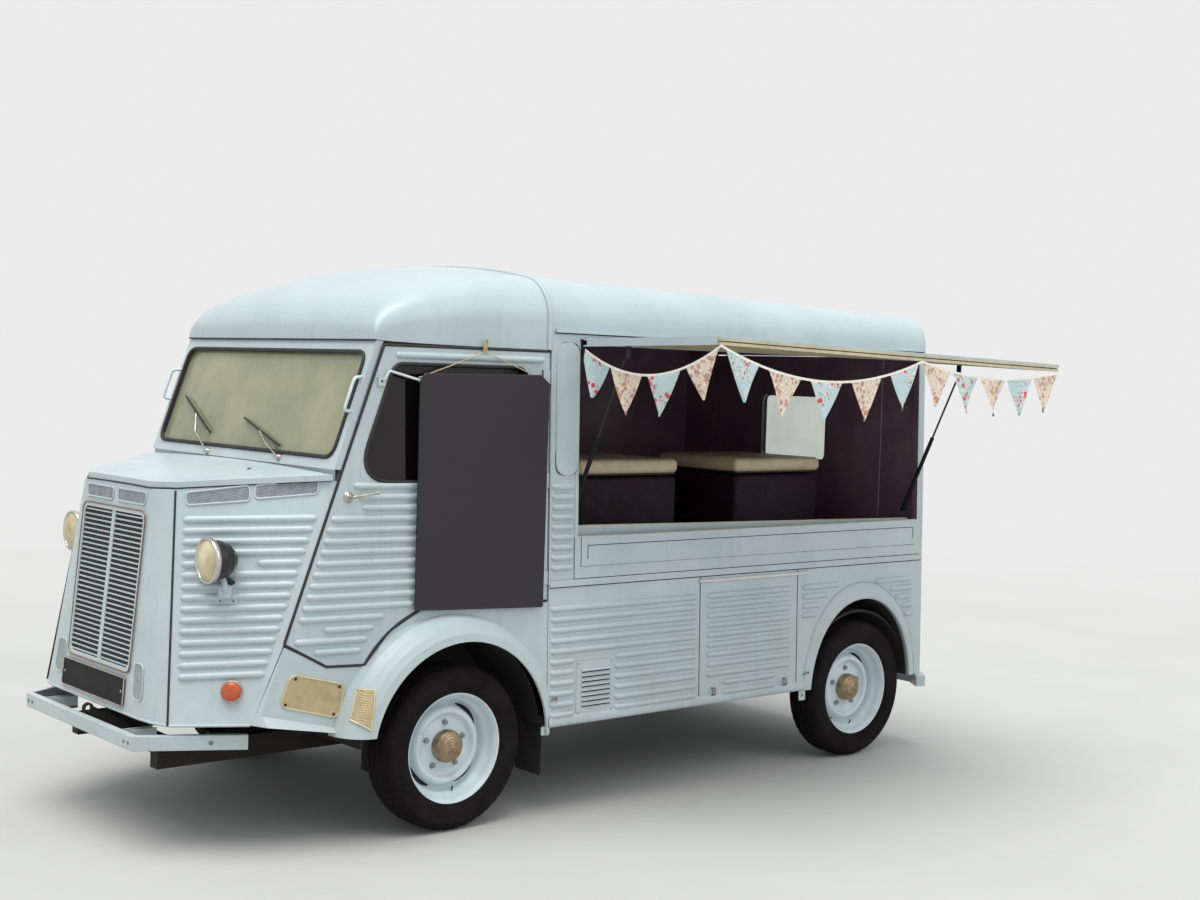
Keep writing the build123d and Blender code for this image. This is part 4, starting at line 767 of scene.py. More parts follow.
for hand, _ in hands:
    body = door_bodies[hand]
    tube("window_seal_" + hand, [over(hand, window_line)], 8.0, rubber, body, closed=True, sides=4)
    filler = over(hand, window_line[16:29] + cut_line[28:15:-1])
    last = len(filler) - 1
    faces = [(k, k + 1, last - 1 - k, last - k) for k in range(last // 2)]
    piece("window_corner_" + hand, (filler, faces), paint, body)
    tube("door_seal_" + hand, [over(hand, door_seal)], 6.0, rubber, body, bend=(12.0, 3))
    tube("nose_seam_" + hand, [over(hand, nose_seam)], 4.4, rubber)
bonnet_line = [(door_front_x(1465.0) + 30, 775.0), (corner_top[0] + 2, corner_top[1] + 2), (1081.0, 290.0)]
bonnet_line += [(x, -y) for x, y in bonnet_line[::-1]]
bonnet_seam = []
for start, end in zip(bonnet_line, bonnet_line[1:]):
    for i in range(9):
        x, y = (a + (b - a) * i / 8 for a, b in zip(start, end))
        bonnet_seam.append(Vector((x, y, bonnet_z(x, y) - 25.0)))
tube("bonnet_seam", [bonnet_seam], 2.6, rubber)
tube("header_seam", [[Vector((378.5, y, 2006.5)) for y in (-784, -400, 0, 400, 784)]], 3.4, rubber)
seam_and_belt_shadow_lines = [[on_side(x, 2068.0, 0.5) for x in (-461, -2960)]]
# Painted shadow: a dark line under the belt rail
seam_and_belt_shadow_lines += [[on_side(x, 982.0, 0.2) for x in (-450, -2960)]]
seam_and_belt_shadow_lines += [[on_side(x, z, -0.5) for z in (392.0, 980.0)] for x in seam_x]
# Painted shade: dark lines round the raised panel below the hatch, at its foot and in its groove
panel_shade_lines = [[on_side(x, z, out) for x, z in places] for out, places in (
    (3.2, ((-2905, 1068), (-619, 1068), (-619, 1190), (-2905, 1190), (-2905, 1068))),
    (0.2, ((-2941, 1190), (-2941, 1014), (-583, 1014), (-583, 1190))),
    (5.6, ((-2885, 1100), (-2885, 1157), (-655, 1157), (-655, 1100))))]
tube("side_seams_and_shadows", seam_and_belt_shadow_lines + panel_shade_lines, 2.4, seam_and_shadow_dark)
upper_seams = [[on_side(x, z, -1.5) for z in (1016.0, 2066.0)] for x in seam_x]
tube("right_seams_and_shadows", [over("right", run) for run in seam_and_belt_shadow_lines + upper_seams], 2.0, seam_and_shadow_dark)
# Painted shadow along the edges of the post's pressing
post_edge_shadow = ((-508, 2028), (-597, 2028), (-597, 1465), (-472, 1465), (-472, 1560))
tube("post_edge_shadow", [[on_side(x, z, 2.0) for x, z in post_edge_shadow]], 3.0, painted_shadow, bend=(55.0, 6))

# Sill rail, and the apron under the windscreen
rail_section = ((0.5, 430.0), (5.0, 426.0), (6.0, 398.0), (3.0, 386.0), (-8.0, 383.0))
rail = [on_side(body_front_x - 8 - i * 40.0, z, out) for i in range(42) for out, z in rail_section]
for hand, _ in hands:
    piece("sill_rail_" + hand, (over(hand, rail), grid(42, len(rail_section))), paint)
apron_section = ((543.0, 1499.0), (543.0, 1440.0), (540.0, 1440.0), (540.0, 1499.0))
apron = [Vector((x, -780.0 + 52.0 * i, z)) for i in range(31) for x, z in apron_section]
piece("screen_apron", (apron, grid(31, 4, closed=True)), paint, smooth=False)


# Vent plates with their rims and screws
def rimmed_vent(name, corners, normal, radius):
    """Mesh plate in a pressed rim."""
    plate(name, [c + normal * 0.3 for c in corners], normal, 1.6, grey_mesh, radius=radius)
    tube(name + "_rim", [[c + normal * 1.4 for c in corners]], 4.2, paint, bend=(radius, 5), closed=True)


def flare_y(x, z):
    """Outer face of the front arch's lip, or of the wing sheet where that stands further out."""
    share = min(1.0, max(-1.0, (math.hypot(x, z - arch_centre_z) - 434.0) / 123.0))
    return max(790.0 + 158.0 * math.sqrt(max(0.0, 1 - share * share)), on_door(x, z).y)


cheek_vents = {"front": ((998, 1386), (801, 1421), (806, 1361), (1002, 1337)),
               "rear": ((786, 1422), (589, 1453), (596, 1396), (791, 1369))}
gold_vent = [on_door(x, z) for x, z in ((722, 702), (495, 646), (524, 516), (770, 582))]
gold_middle = sum(gold_vent, Vector()) / 4
gold_screws = [c + (gold_middle - c).normalized() * 26.0 + door_normal * 5 for c in gold_vent]
arch_vent = [Vector(place) for place in ((472, 632), (423, 634), (510, 520), (450, 482))]
nose_slot = [on_nose(y, z) for y, z in ((318, 716), (396, 716), (412, 576), (332, 576))]
for hand, sign in hands:
    cheek_way, door_way = over(hand, (cheek_normal, door_normal))
    for name, corners in cheek_vents.items():
        places = over(hand, [on_cheek(x, z) for x, z in corners])
        rimmed_vent(f"cheek_vent_{name}_{hand}", places, cheek_way, 18.0)
    rounded = bent(over(hand, gold_vent), 34.0, 6)
    plate("wing_vent_" + hand, rounded, door_way, 3.0, gold_mesh)
    tube("wing_vent_rim_" + hand, [[p + door_way * 3 for p in rounded]], 3.4, brass_pale, closed=True)
    screws("wing_vent_screws_" + hand, over(hand, gold_screws), door_way, black_paint)
    spots = []
    for i in range(13):
        high, low = (a + (b - a) * (i / 12) for a, b in (arch_vent[:2], arch_vent[2:]))
        for k in range(13):
            x, z = high + (low - high) * (k / 12)
            spots.append(Vector((x + 2.0, sign * (flare_y(x, z) + 4.0), z)))
    piece("arch_vent_" + hand, (spots, grid(13, 13)), gold_mesh)
    ring = spots[::13] + spots[157:] + spots[155:11:-13] + spots[11:0:-1]
    tube("arch_vent_rim_" + hand, [ring], 3.2, brass_pale, closed=True)
    slot_corners = over(hand, nose_slot)
    plate("nose_slot_" + hand, bent([p + nose_normal * 0.2 for p in slot_corners], 30.0, 6), nose_normal, 1.2,
          slot_grey)
    slot_rim = [p + nose_normal for p in slot_corners]
    tube("nose_slot_rim_" + hand, [slot_rim], 3.4, paint, bend=(30.0, 6), closed=True)
for name, low, high in (("nose_vent_right", -271, -23), ("nose_vent_left", 16, 271)):
    corners = [on_nose(y, z) for y, z in ((low, 1376), (high, 1376), (high - 4, 1326), (low + 4, 1326))]
    rimmed_vent(name, corners, nose_normal, 16.0)

# Headlamps, indicators and rear lamps
lens_profile = [(0.0001, 26), (22, 25), (42, 21), (60, 14.5), (73, 7), (80, 1)]
ring_profile = [(79, 1), (80, 5), (84, 8), (89, 6), (91, 0), (90, -10), (86, -16)]
dome = [(0.0001, 36), (14, 35), (24, 32.5), (32, 29), (37.5, 25), (38, 5)]
gasket = [(38, 0), (43, 0.5), (43, 5), (40.5, 8), (38, 8)]
bracket_foot = [on_cheek(x, z, 0.5) for x, z in ((935, 1038), (872, 1042), (878, 968), (938, 968))]
bracket_arm = [on_cheek(x, z, 4.0) for x, z in ((925, 1034), (884, 1036), (890, 986), (927, 986))]
bracket = joined([slab(bracket_foot, cheek_normal, 4.0, 8.0), slab(bracket_arm, cheek_normal, 34.0, 12.0)])
bracket_bolts = [on_cheek(x, 978, 4.5) for x in (928, 888)]
stem_start = on_cheek(904, 1012, 30.0)
stem = [stem_start, stem_start + Vector((10, 8, 30)), Vector((935, 618, 1078))]
for hand, sign in hands:
    centre = Vector((1000.0, sign * 620.0, 1140.0))
    turned("headlamp_lens_" + hand, lens_profile, centre, forward, lens_and_reflection)
    turned("headlamp_ring_" + hand, ring_profile, centre, forward, chrome)
    piece("lamp_bracket_" + hand, sided(hand, bracket), paint, smooth=False)
    tube("lamp_stem_" + hand, [over(hand, stem)], 11.0, paint, bend=(12.0, 4))
    normal, base = over(hand, (cheek_normal, on_cheek(921, 640)))
    screws("lamp_bolts_" + hand, over(hand, bracket_bolts), normal, steel, radius=5.0)
    turned("indicator_lens_" + hand, dome, base, normal, orange_lens, steps=48)
    turned("indicator_gasket_" + hand, gasket, base, normal, chrome_worn, steps=48)
    lens_box = [Vector((-2972, sign * y, z)) for y, z in oblong(732, 808, 637, 783)]
    plate("rear_lens_" + hand, lens_box, backward, 33.0, red_lens, radius=10.0)
    lens_bar = [Vector((-3004.5, sign * y, z)) for y, z in oblong(736, 804, 708, 713)]
    plate("rear_lens_bar_" + hand, lens_bar, backward, 1.5, chrome_worn)

# Grille: painted shade behind the slats and between them, and a brass edge
grille_back = [on_nose(y, z, -20.0) for y, z in oblong(-280, 280, 676, 1294)]
plate("grille_back", grille_back, -nose_normal, 2.0, slat_shadow)
slat_pitch = (637.0 - 36.0) / 30
gaps = []
for line in range(31):
    z = 684.0 + slat_pitch * line
    for y0, y1 in ((-276, -16), (16, 276)):
        corners = oblong(y0, y1, max(z - 8.5, 685.0), min(z + 3.4, 1284.0))
        gaps.append(slab([on_nose(y, h, 0.8) for y, h in corners], nose_normal, 0.4))
piece("grille_gaps", joined(gaps), slat_shadow, smooth=False)
grille_edge = [on_nose(y, z, 6.5) for y, z in oblong(-289, 289, 667, 1302)]
tube("grille_edge", [grille_edge], 3.2, brass_dull, bend=(40.0, 6), closed=True)
# Painted shade: dark slabs between the louvres
louvre_z = [458.0 + 21.25 * line for line in range(8)]
louvres = []
for z in louvre_z:
    corners = [on_side(x, h, 4.0 if h < z else 10.4) for x, h in oblong(-791, -632, z - 3.0, z + 3.5)]
    louvres.append(slab(corners, side_normal, 0.5))
louvre_corners = [on_side(x, z, 3.0) for x in (-803, -612) for z in (430, 645)]
for hand, _ in hands:
    piece("louvre_gaps_" + hand, sided(hand, joined(louvres)), slat_shadow, smooth=False)
    screws("louvre_screws_" + hand, over(hand, louvre_corners), by_hand(hand, side_normal), steel, radius=4.0)

# Blank number plates
front_plate = [on_nose(y, z, 4.0) for y, z in ((-318, 534), (262, 534), (257, 645), (-318, 645))]
rear_plate = [on_rear(y, z, 9.0) for y, z in oblong(-70, -590, 660, 772)]
for name, corners, normal, thick, rim, body in (
        ("front_plate", front_plate, nose_normal, 4.0, 3.0, "root"),
        ("rear_plate", rear_plate, backward, 3.0, 2.6, "rear_door_right")):
    plate(name, corners, normal, thick, plate_black, body, radius=10.0)
    face_edge = [p + normal * thick for p in corners]
    tube(name + "_rim", [face_edge], rim, chrome_worn, body, bend=(10.0, 4), closed=True)
plate_screws = [on_nose(y, 590, 8.5) for y in (-296.0, 238.0)]
screws("front_plate_screws", plate_screws, nose_normal, chrome_worn, radius=5.0)

# Wipers
wipers = {
    "left": ((351, 1515), (230, 1563), (140, 1612), (319, 1563), (-44, 1664)),
    "right": ((-260, 1506), (-407, 1584), (-466, 1660), (-298, 1589), (-639, 1740)),
}
spindle = [(0.0001, 16), (6, 16), (9, 12), (13, 4), (16, 0), (16, -3)]
blade_shape = ((0.0, 3.0), (0.12, 7.0), (0.5, 10.0), (0.88, 7.0), (1.0, 3.0))
for hand, (pivot, elbow, middle, blade_low, blade_high) in wipers.items():
    arm = [on_screen(*pivot, 10), on_screen(*elbow, 16), on_screen(*middle, 9)]
    tube("wiper_arm_" + hand, [arm], 3.6, chrome_worn, bend=(20.0, 3))
    turned("wiper_spindle_" + hand, spindle, on_screen(*pivot), screen_lean, chrome_worn, steps=24)
    low, high = on_screen(*blade_low, -1.0), on_screen(*blade_high, -1.0)
    across = screen_lean.cross((high - low).normalized())
    blade = []
    for share, tall in blade_shape:
        spot = low + (high - low) * share
        section = ((-1.5, -6.0), (1.5, -6.0), (5.0, tall * 0.6), (3.0, tall), (-3.0, tall),
                   (-5.0, tall * 0.6))
        blade += [spot + across * side + screen_lean * out for side, out in section]
    faces = grid(5, 6, closed=True) + [(5, 4, 3, 2, 1, 0), (24, 25, 26, 27, 28, 29)]
    piece("wiper_blade_" + hand, (blade, faces), rubber, smooth=False)
hole_place = Vector((684, 356, bonnet_z(684, 356) + 0.2))
screws("bonnet_hole", [hole_place], Vector((0.12, 0, 1)).normalized(), rubber, "bonnet", 9.0)

# Door furniture: stay bar, handles, strings and peg
left_door = door_bodies["left"]
stay_block = [on_door(x, z) for x, z in ((368, 1862), (338, 1862), (338, 1824), (368, 1824))]
plate("stay_block", stay_block, door_normal, 12.0, paint, left_door, radius=4.0)
screws("stay_screw", [on_door(353, 1843, 12.0)], door_normal, black_paint, left_door, 5.0)
stay = [on_door(341, 1850, 10.0), on_door(322, 1885, 16.0), on_door(180, 1846, 34.0)]
tube("stay_bar", [stay], 5.0, wheel_paint, left_door, bend=(8.0, 4))
rose = [(0.0001, 13), (8, 13), (12, 10), (17, 5), (21, 3), (23, 0)]
lever = [on_door(*place) for place in ((488, 1383, 8), (486, 1384, 34), (470, 1388, 42), (378, 1401, 38))]
for hand, _ in hands:
    normal, rose_place = over(hand, (door_normal, on_door(488, 1383)))
    hand_lever = over(hand, lever)
    turned("handle_rose_" + hand, rose, rose_place, normal, chrome_worn, door_bodies[hand], 32)
    tube("handle_lever_" + hand, [hand_lever], 6.0, chrome_worn, door_bodies[hand], bend=(12.0, 4))
    piece("handle_tip_" + hand, ball_head(hand_lever[-1], normal, 8.0, 7.0), chrome_worn, door_bodies[hand])
peg_foot, peg_top = on_door(-113, 1978, 7), on_door(-117, 2026, 16)
legs = []
for way in (-1, 1):
    corners = [peg_foot + forward * shift for shift in (way * 10, way * 2)]
    corners += [peg_top - forward * 3.5, peg_top + forward * 3.5]
    legs.append(slab(corners, door_normal, 9.0))
piece("string_peg", joined(legs), peg_wood, left_door, smooth=False)
for name, x, z in (("front", 196, 1862), ("rear", -372, 1872)):
    end = on_door(x, z, 30)
    string = [peg_foot + door_normal * 5, (peg_foot + end) * 0.5 + Vector((0, 6, -2)), end]
    tube("board_string_" + name, [string], 2.0, rope, left_door)
    loop = [end + Vector(shift) for shift in ((0, 0, 6), (9, 0, -9), (0, 3, -22), (-9, 0, -9))]
    tube("board_loop_" + name, [loop], 2.0, rope, left_door, bend=(6.0, 4), closed=True)

# Catches on the middle side panel, brackets by the arches, and mud flaps
catches = []
for x in (-1432, -1916):
    for shift in (-9, 6):
        catches.append([on_side(x + shift, z, out) for z, out in ((424, 3), (430, 13), (454, 13), (460, 3))])
for x, z in ((-2072, 462), (-474, 500)):
    hook = ((-14, 0, 5), (-14, 12, 15), (12, 8, 15), (16, 0, 5))
    catches.append([on_side(x + along, z + rise, out) for along, rise, out in hook])
for hand, sign in hands:
    normal = by_hand(hand, side_normal)
    tube("panel_catches_" + hand, [over(hand, run) for run in catches], 3.0, steel, bend=(6.0, 3))
    for x, low_z, high_z in ((-2078, 336, 384), (-458, 356, 392)):
        places = ((x, low_z), (x, high_z), (x + 44, high_z), (x + 44, low_z))
        corners = over(hand, [on_side(*place, -6) for place in places])
        plate(f"sill_bracket_{hand}_{-x}", corners, normal, 5.0, paint, radius=6.0)
        screws(f"sill_bolt_{hand}_{-x}", [sum(corners, Vector()) / 4 + normal * 5], normal, steel)
    mud_flap = [Vector((-458, sign * y, z)) for y, z in ((698, 392), (884, 392), (880, 168), (706, 168))]
    plate("mud_flap_" + hand, mud_flap, backward, 5.0, rubber, radius=14.0)

# Front bumper as a folded channel of (inset, z) with its brackets, and the rear bumperettes
channel = [(0.0, 415.0), (0.0, 466.0), (1.2, 469.0), (4.0, 470.0), (26.0, 470.0), (26.0, 465.5), (6.0, 465.0),
           (5.5, 464.5), (5.5, 416.5), (6.0, 416.0), (26.0, 415.5), (26.0, 411.0), (4.0, 411.0), (1.2, 412.0)]
width = len(channel)
shares = (0.0, 0.94, 0.98, 1.0)
bar = []
for sign, share in [(1, share) for share in shares] + [(-1, share) for share in shares[::-1]]:
    for inset, z in channel:
        end, corner = (858.0 - 0.5 * inset, 712.0 - inset), (1240.0 - inset, 503.0 - 0.3 * inset)
        x, y = (a + (b - a) * share for a, b in zip(end, corner))
        bar.append(Vector((x, sign * y, z)))
caps = [tuple(range(width - 1, -1, -1)), tuple(range(7 * width, 8 * width))]
parts = [(bar, grid(8, width, closed=True) + caps)]
rear_plan = ((-3044, 610), (-3044, 900), (-2966, 978), (-2914, 958), (-2996, 850), (-2996, 610))
for _, sign in hands:
    for y0, y1, z0, z1 in ((348, 356, 414, 466), (384, 392, 414, 466), (348, 392, 418, 424)):
        corners = [Vector((x, sign * y, z0)) for x, y in oblong(1080, 1234, y0, y1)]
        parts.append(slab(corners, upward, z1 - z0))
    parts.append(slab([Vector((x, sign * y, 322)) for x, y in rear_plan], upward, 54.0, 10.0))
piece("bumper_bars", joined(parts), paint, smooth=False, replaced="bumpers")
bolt_places = [Vector((1240, y, 441)) for y in (-478, -441, 441, 478)]
screws("bumper_bolts", bolt_places, forward, steel, radius=8.0)
end_run = Vector((858 - 1240, 712 - 503, 0))
end_normal = Vector((end_run.y, -end_run.x, 0)).normalized()
end_bolt = Vector((1240, 503, 441)) + end_run * 0.68
for hand, _ in hands:
    screws("bumper_end_bolt_" + hand, [by_hand(hand, end_bolt)], by_hand(hand, end_normal), steel, radius=9.0)

# Menu board with cut corners, blank, and its thin dark edge
board_edge = [(207, 1846), (188, 1876), (-352, 1884), (-394, 1850), (-394, 912), (203, 928)]
plate("blank_board", [on_board(x, z, 0.5) for x, z in board_edge], board_normal, 8.0, board_black, left_door,
      radius=3.0, replaced="menu_board")
board_line = [on_board(x, z, 4.5) for x, z in board_edge]
tube("board_binding", [board_line], 4.6, black_paint, left_door, "board_black", bend=(4.0, 2), closed=True)

# Mirror loops beside the windscreen, and the rolled edge below the nose and cheeks
loop = ((765, 1858, -2.0), (780, 1856, 40.0), (780, 1724, 40.0), (765, 1722, -2.0))
loops = [[on_screen(sign * y, z) + forward * out for y, z, out in loop] for _, sign in hands]
tube("mirror_loops", loops, 6.5, wheel_paint, bend=(26.0, 6), sides=4, replaced="mirror_arms")
nose_edge = [on_cheek(878, 517, -2), on_cheek(1116, 508, -2)]
nose_edge += [Vector((1150, 490, 509)), Vector((1158, 400, 509))]
tube("nose_lip", [nose_edge + over("right", nose_edge[::-1])], 6.0, paint, bend=(8.0, 4))

# Wheels: deep rim, pressed disc, nuts and a turned brass cap, as profiles of (radius, out)
disc_profile = [
    (219, -62), (219, 58), (222, 68), (226, 73), (229, 74), (229, 70), (225, 66), (219, 62), (214, 52),
    (211, 34), (203, 22), (196, 14), (191, -4), (187, -18), (176, -24), (168, -16), (164, 2), (159, 13),
    (151, 20), (141, 21), (134, 15), (129, 3), (121, -4), (108, -5), (74, -1), (64, 2),
]
cap_profile = [
    (66, 2), (68, 8), (68, 20), (66, 34), (62, 44), (57, 47), (55, 45), (52, 50), (47, 52), (45, 50),
    (42, 55), (36, 58), (34, 56), (31, 60), (25, 62), (22, 60), (19, 64), (12, 67), (8, 66), (7, 73),
    (4, 75), (0.0001, 75),
]
hub_back = [(30, -60), (120, -60), (140, -30), (150, -10), (158, 0)]
nut_profile = [(0.0001, 20), (4.5, 20), (4.5, 15), (9.46, 15), (11, 13), (11, 1.5), (15.95, 0)]
nut_count, nut_reach = 5, 96.0
tyre_half = [
    (219, -61), (226, -70), (233, -76), (240, -77), (243, -80), (262, -86), (282, -88), (300, -87.5),
    (303, -89), (310, -88.5), (318, -84), (326, -79), (333, -72), (338, -64), (340.5, -54), (341.5, -45),
    (342, -37), (335, -35), (335, -31), (342.6, -29), (343, -16), (343, -3.5), (336, -2),
]
tyre_profile = tyre_half + [(radius, -out) for radius, out in tyre_half[::-1]]
tyre_steps = 192


def tread(centre, out_way):
    """The tyre's profile turned round, with cross grooves on the shoulders and zigzag ribs."""
    points = []
    for i in range(tyre_steps):
        angle = 2 * math.pi * i / tyre_steps
        way = forward * math.cos(angle) + upward * math.sin(angle)
        for radius, out in tyre_profile:
            if i % 4 == 0 and 326 < radius < 343 and 44 < abs(out) < 80:
                radius -= 5.0
            if radius > 334 and abs(out) < 38:
                out += 2.2 if i % 8 < 4 else -2.2
            points.append(centre + way * radius + out_way * out)
    return points, grid(tyre_steps, len(tyre_profile), closed=True, looped=True)


for place, x, y in (("front", 0.0, 808.5), ("rear", -2500.0, 825.0)):
    for hand, sign in hands:
        body = f"wheel_{place}_{hand}"
        centre = Vector((x, sign * y, wheel_z))
        out_way = Vector((0, sign, 0))

        def around(reach, turn, out):
            return centre + (forward * math.cos(turn) + upward * math.sin(turn)) * reach + out_way * out

        rim = joined([spun(disc_profile, centre, out_way, 96), spun(hub_back, centre, out_way, 48)])
        piece(f"rim_{place}_{hand}", rim, wheel_paint, body, "wheel_paint", replaced=body)
        turned(f"hub_cap_{place}_{hand}", cap_profile, centre, out_way, brass, body)
        nut_places = [around(nut_reach, 2 * math.pi * (i + 0.25) / nut_count, -4.0) for i in range(nut_count)]
        nuts = joined([spun(nut_profile, nut_place, out_way, 6) for nut_place in nut_places])
        piece(f"nuts_{place}_{hand}", nuts, nut_steel, body, smooth=False)
        # Painted shade: dark slots in the wheel disc
        slots = []
        for quarter in range(4):
            edges = []
            for i in range(13):
                turn = math.pi * (0.25 + 0.5 * quarter) + math.radians(-24 + 4 * i)
                pinch = (1 - abs(i - 6) / 6) ** 0.5
                edges += [around(174 - 6 * pinch, turn, -20.0 + 5 * pinch),
                          around(178 + 9 * pinch, turn, -21.0 + 6 * pinch)]
            slots.append((edges, grid(13, 2)))
        piece(f"disc_slots_{place}_{hand}", joined(slots), slat_shadow, body, "wheel_paint")
        valve = [around(reach, -1.75, out) for reach, out in ((200, 10), (188, 16), (176, 22))]
        tube(f"valve_{place}_{hand}", [valve], 3.6, rubber, body, "tyre")
        piece(f"tread_{place}_{hand}", tread(centre, out_way), tyre_rubber, body,
              replaced=f"tyre_{place}_{hand}")

# Serving flap: a skin on a frame, pale rails on its edges and boards below. Its front corner stands a
# little high, as the panel is wrung by its two props.
droop, wring = math.radians(2.2), 46.0
flap_front, flap_rear, flap_reach = -608.0, -2912.0, 845.0


def on_flap(x, reach, drop, wrung=True):
    """A point of the flap, by its distance from the hinge and below the flap's top."""
    y = 895.0 + reach * math.cos(droop) - drop * math.sin(droop)
    lift = wring * (x - flap_rear) / (flap_front - flap_rear) * reach / flap_reach if wrung else 0.0
    return Vector((x, y, 2050.0 - reach * math.sin(droop) - drop * math.cos(droop) + lift))


def flap_bar(x0, x1, r0, r1, d0, d1, wrung=True):
    """A bar of the flap between two places along the hinge, out from it and below its top."""
    points = [on_flap(x, reach, drop, wrung) for drop in (d0, d1) for x, reach in oblong(x0, x1, r0, r1)]
    return points, [(0, 1, 2, 3), (7, 6, 5, 4)] + [(a, d, c, b) for a, b, c, d in grid(2, 4, closed=True)]


flap_parts = {
    "flap_skin": (paint, "body_paint", [
        (flap_rear, flap_front, 8, 845, 0, 8), (flap_front - 26, flap_front, 8, 822, 8, 34),
        (flap_rear, flap_front, 8, 30, 8, 28)]),
    "flap_rails": (cream_rail, "shelf_wood", [
        (flap_rear, flap_front, 826, 846, 8, 18), (flap_rear, flap_front, 826, 845, 23, 35),
        (flap_rear, flap_rear + 26, 8, 826, 8, 35), (flap_rear - 2, flap_rear, 8, 846, 2, 16)]),
    # Painted shade in the groove between the two edge rails
    "flap_groove_shade": (painted_shadow, "shelf_wood", [(flap_rear + 4, flap_front - 4, 822, 839, 8, 34)]),
    "flap_boards": (tan_board, "shelf_wood", [
        (flap_rear + 28 + i * 449.6, flap_rear + 473 + i * 449.6, 31, 821, 9, 13) for i in range(5)]),
    "flap_battens": (tan_pale, "shelf_wood", [
        (flap_rear + 28, flap_front - 28, reach, reach + 36, 13, 26) for reach in (60.0, 300.0, 560.0, 770.0)]),
    "flap_lugs": (black_paint, "raw_steel", [
        (x - 3, x + 3, 262, 288, start, 73, False) for x, start in ((-2890, 6.0), (-630, -1.0))]),
}
for name, (finish, slot, bars) in flap_parts.items():
    replaced = "serving_flap" if name == "flap_skin" else None
    piece(name, joined([flap_bar(*bar) for bar in bars]), finish, "serving_flap", slot, False, replaced)
tube("flap_hinge_pin", [[Vector((x, 895, 2050)) for x in (-2888, -632)]], 5.0, paint, "serving_flap")

# Bunting: a sagging tape and fourteen hung flags
random.seed(7)
tape_pins = [on_flap(-598.0, 34.0, 50.0), on_flap(-601.0, 850.5, 38.0), on_flap(-1857.0, 850.5, 38.0),
             on_flap(-2900.0, 850.5, 40.0)]
tape_sags, span_steps = (112.0, 115.0, 52.0), 24
tape_line = []
for start, end, sag in zip(tape_pins, tape_pins[1:], tape_sags):
    for i in range(span_steps):
        t = i / span_steps
        tape_line.append(start + (end - start) * t - upward * (4 * sag * t * (1 - t)))
tape_line.append(tape_pins[-1])
tape_reach = [0.0]
for start, end in zip(tape_line, tape_line[1:]):
    tape_reach.append(tape_reach[-1] + (end - start).length)


def on_tape(along):
    """The point of the tape at a distance along it, and its run there."""
    along = min(max(along, 0.0), tape_reach[-1] - 0.01)
    i = next(k for k, end in enumerate(tape_reach[1:]) if along <= end)
    run = (tape_line[i + 1] - tape_line[i]) / (tape_reach[i + 1] - tape_reach[i])
    return tape_line[i] + run * (along - tape_reach[i]), run


tape_points = []
for i, spot in enumerate(tape_line):
    run = tape_line[min(i + 1, len(tape_line) - 1)] - tape_line[max(i - 1, 0)]
    aside = Vector((run.y, -run.x, 0)).normalized()
    tape_points += [spot + aside * side + upward * rise for side, rise in oblong(-1, 1, 5, -5)]
tape_shape = (tape_points, grid(len(tape_line), 4, closed=True))
tape = piece("bunting_tape", tape_shape, tape_white, "serving_flap", smooth=False, replaced="bunting")

# Fourteen flags hung from the tape, each with its own twist, lean and folds
flag_width, flag_height = 196.0, 172.0
pin_reach = tape_reach[::span_steps]
flag_middles = [pin_reach[1] * share for share in (0.09, 0.33, 0.60, 0.87)]
for start, end in zip(pin_reach[1:], pin_reach[2:]):
    flag_middles += [start + (end - start) * (i + 0.5) / 5 for i in range(5)]
steps_across, steps_down = 12, 14
for number, middle in enumerate(flag_middles):
    twist = random.uniform(-0.3, 0.3)
    lean = random.uniform(-20.0, 20.0)
    puff = random.uniform(9.0, 17.0) * random.choice((-1, 1))
    phase = random.uniform(0.0, 6.28)
    _, run = on_tape(middle)
    outward = forward if number < 4 else Vector((run.y, -run.x, 0)).normalized()
    points = []
    for v in [down / steps_down for down in range(steps_down + 1)]:
        for u in [across / steps_across for across in range(steps_across + 1)]:
            spread = (u - 0.5) * (1 - v)
            top, _ = on_tape(middle + spread * flag_width)
            fold = puff * math.sin(3.0 * u + phase) * v ** 0.7 * (1 - 0.35 * v)
            fold += 3.0 * math.sin(9.0 * u + 4.0 * v + phase) * v * (1 - 0.5 * v)
            out = 1.6 + fold * 0.9 + twist * spread * flag_width * v
            drop = 5.0 + (flag_height - 0.012 * lean * lean) * v
            points.append(top + outward * out + run * lean * v * v - upward * drop)
    finish = flag_blue if number % 2 == 0 else flag_cream
    faces = grid(steps_down + 1, steps_across + 1)
    flag = piece(f"flag_{number + 1}", (points, faces), finish, "serving_flap")
    tuple(row(tape_pins[1]))
    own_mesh(flag)
tuple(row(tape_pins[1]))
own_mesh(tape)


# Cab roof: the sections of part.py taken closer, with a rounded front edge, and the band over its rear seam
def roof_ring(x, half, base, ridge, shoulder, upright):
    """Points over a roof section from its left foot to its right one."""
    rise, reach, foot_z = ridge - base - upright, half - shoulder, base + upright
    crown_r = (reach ** 2 + rise ** 2 - shoulder ** 2) / (2 * (rise - shoulder))
    crown_z = ridge - crown_r
    touch = math.atan2(foot_z - crown_z, reach)
    turns = [touch * i / 10 for i in range(11)]
    left = [(half, base)] + [(reach + shoulder * math.cos(a), foot_z + shoulder * math.sin(a)) for a in turns]
    turns = [touch + (math.pi / 2 - touch) * i / 16 for i in range(1, 17)]
    left += [(crown_r * math.cos(a), crown_z + crown_r * math.sin(a)) for a in turns]
    return [Vector((x, y, z)) for y, z in left] + [Vector((x, -y, z)) for y, z in left[-2::-1]]


